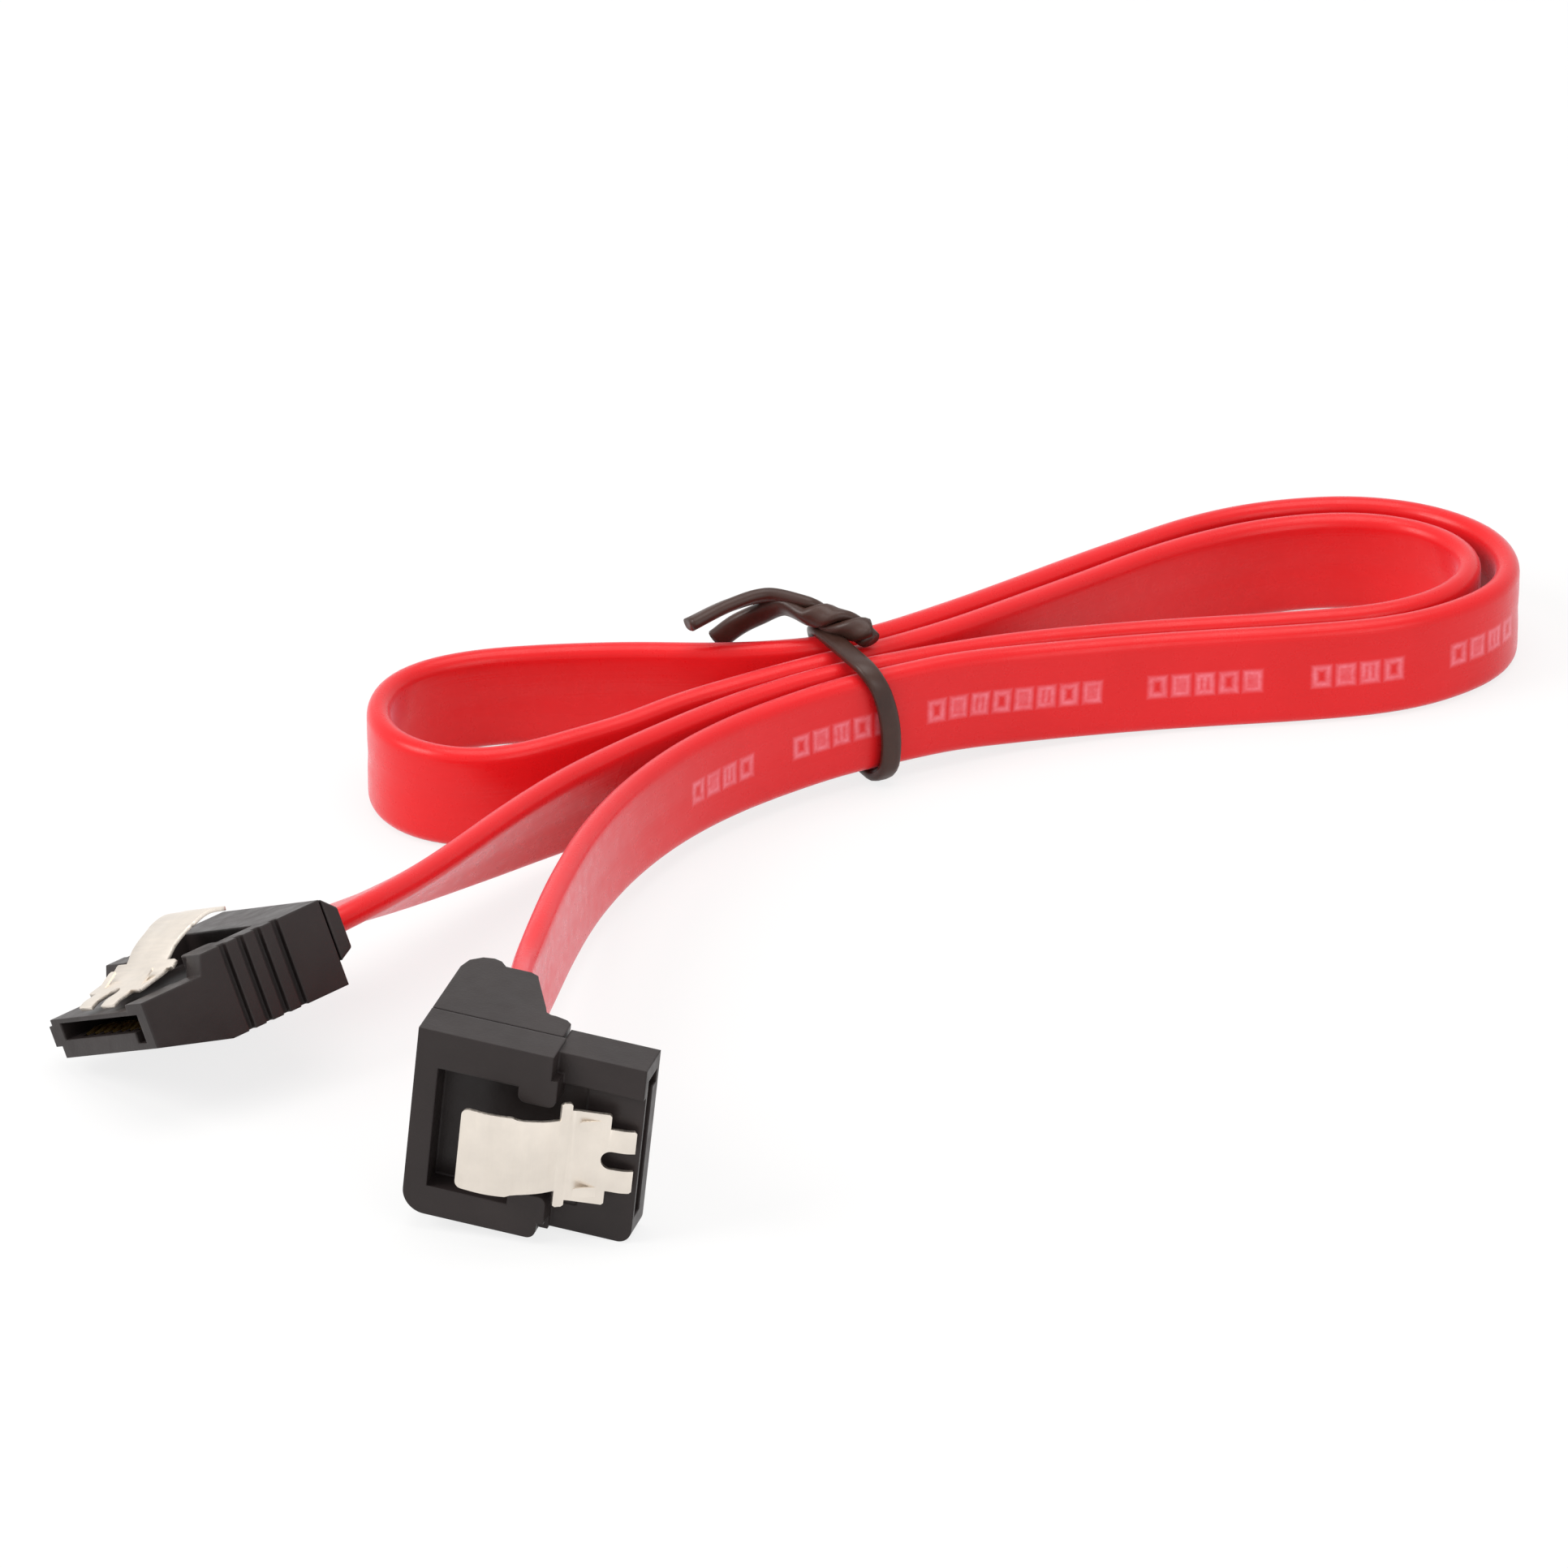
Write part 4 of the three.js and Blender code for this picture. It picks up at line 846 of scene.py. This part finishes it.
high_end = tie_tail(math.pi / 2, HIGH_TAIL, TAIL_TURN)
low_end = tie_tail(-math.pi / 2, LOW_TAIL, -TAIL_TURN)
tie = new_object("tie", *joined([tie_loop(), high_end, low_end]))
tie.data.materials.append(tie_material())
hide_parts("twist_tie")
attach(tie, "cable")


# Floor and light

FLOOR_HALF = 4
FLOOR_GLOW = 0.8
WORLD_COLOUR = (1, 0.99, 0.98, 1)
WORLD_STRENGTH = 0.45
LAMP_COLOUR = (1, 0.985, 0.965)
WHITE = (1, 1, 1, 1)

# Name, place, diameter and power. Every lamp points at the part's origin.
LAMPS = [
    ("key", (-0.68, -0.2, 0.58), 0.5, 4.5),
    ("top", (0.05, 0.05, 0.9), 0.8, 4.2),
    ("fill", (0.5, -0.7, 0.4), 0.6, 1.6),
]


def sees_background(tree):
    """1 for the rays that show the background itself: to the camera, in a gloss and through glass."""
    rays = tree.nodes.new("ShaderNodeLightPath")
    total = rays.outputs["Is Camera Ray"]
    for kind in ("Is Glossy Ray", "Is Transmission Ray"):
        most = tree.nodes.new("ShaderNodeMath")
        most.operation = "MAXIMUM"
        tree.links.new(total, most.inputs[0])
        tree.links.new(rays.outputs[kind], most.inputs[1])
        total = most.outputs[0]
    return total


def show_either(tree, share, first, second, output):
    """Shows the second shader by its share, and the first for the rest."""
    either = tree.nodes.new("ShaderNodeMixShader")
    for socket, source in zip(either.inputs, (share, first.outputs[0], second.outputs[0])):
        tree.links.new(source, socket)
    tree.links.new(either.outputs[0], tree.nodes[output].inputs["Surface"])


floor_mesh = bpy.data.meshes.new("floor")
corners = [(x * FLOOR_HALF, y * FLOOR_HALF, 0) for x, y in ((-1, -1), (1, -1), (1, 1), (-1, 1))]
floor_mesh.from_pydata(corners, [], [(0, 1, 2, 3)])
floor = bpy.data.objects.new("floor", floor_mesh)
bpy.context.scene.collection.objects.link(floor)
floor_material, floor_shader = new_material("floor", (0.9, 0.9, 0.9), roughness=0.9, specular=0.1)
tree = floor_material.node_tree
glow = tree.nodes.new("ShaderNodeEmission")
glow.inputs["Color"].default_value = WHITE
glow.inputs["Strength"].default_value = 1
seen = tree.nodes.new("ShaderNodeMath")
seen.operation = "MULTIPLY"
seen.inputs[1].default_value = FLOOR_GLOW
tree.links.new(sees_background(tree), seen.inputs[0])
show_either(tree, seen.outputs[0], floor_shader, glow, "Material Output")
floor.data.materials.append(floor_material)

world = bpy.data.worlds.new("world")
world.use_nodes = True
bpy.context.scene.world = world
tree = world.node_tree
plain = tree.nodes["Background"]
plain.inputs["Color"].default_value = WORLD_COLOUR
plain.inputs["Strength"].default_value = WORLD_STRENGTH
white = tree.nodes.new("ShaderNodeBackground")
white.inputs["Color"].default_value = WHITE
white.inputs["Strength"].default_value = 1
show_either(tree, sees_background(tree), plain, white, "World Output")

for name, place, diameter, power in LAMPS:
    lamp_data = bpy.data.lights.new(name, "AREA")
    lamp_data.shape = "DISK"
    lamp_data.size = diameter
    lamp_data.energy = power
    lamp_data.color = LAMP_COLOUR
    lamp = bpy.data.objects.new(name, lamp_data)
    lamp.location = place
    lamp.rotation_euler = (-Vector(place)).to_track_quat("-Z", "Y").to_euler()
    bpy.context.scene.collection.objects.link(lamp)
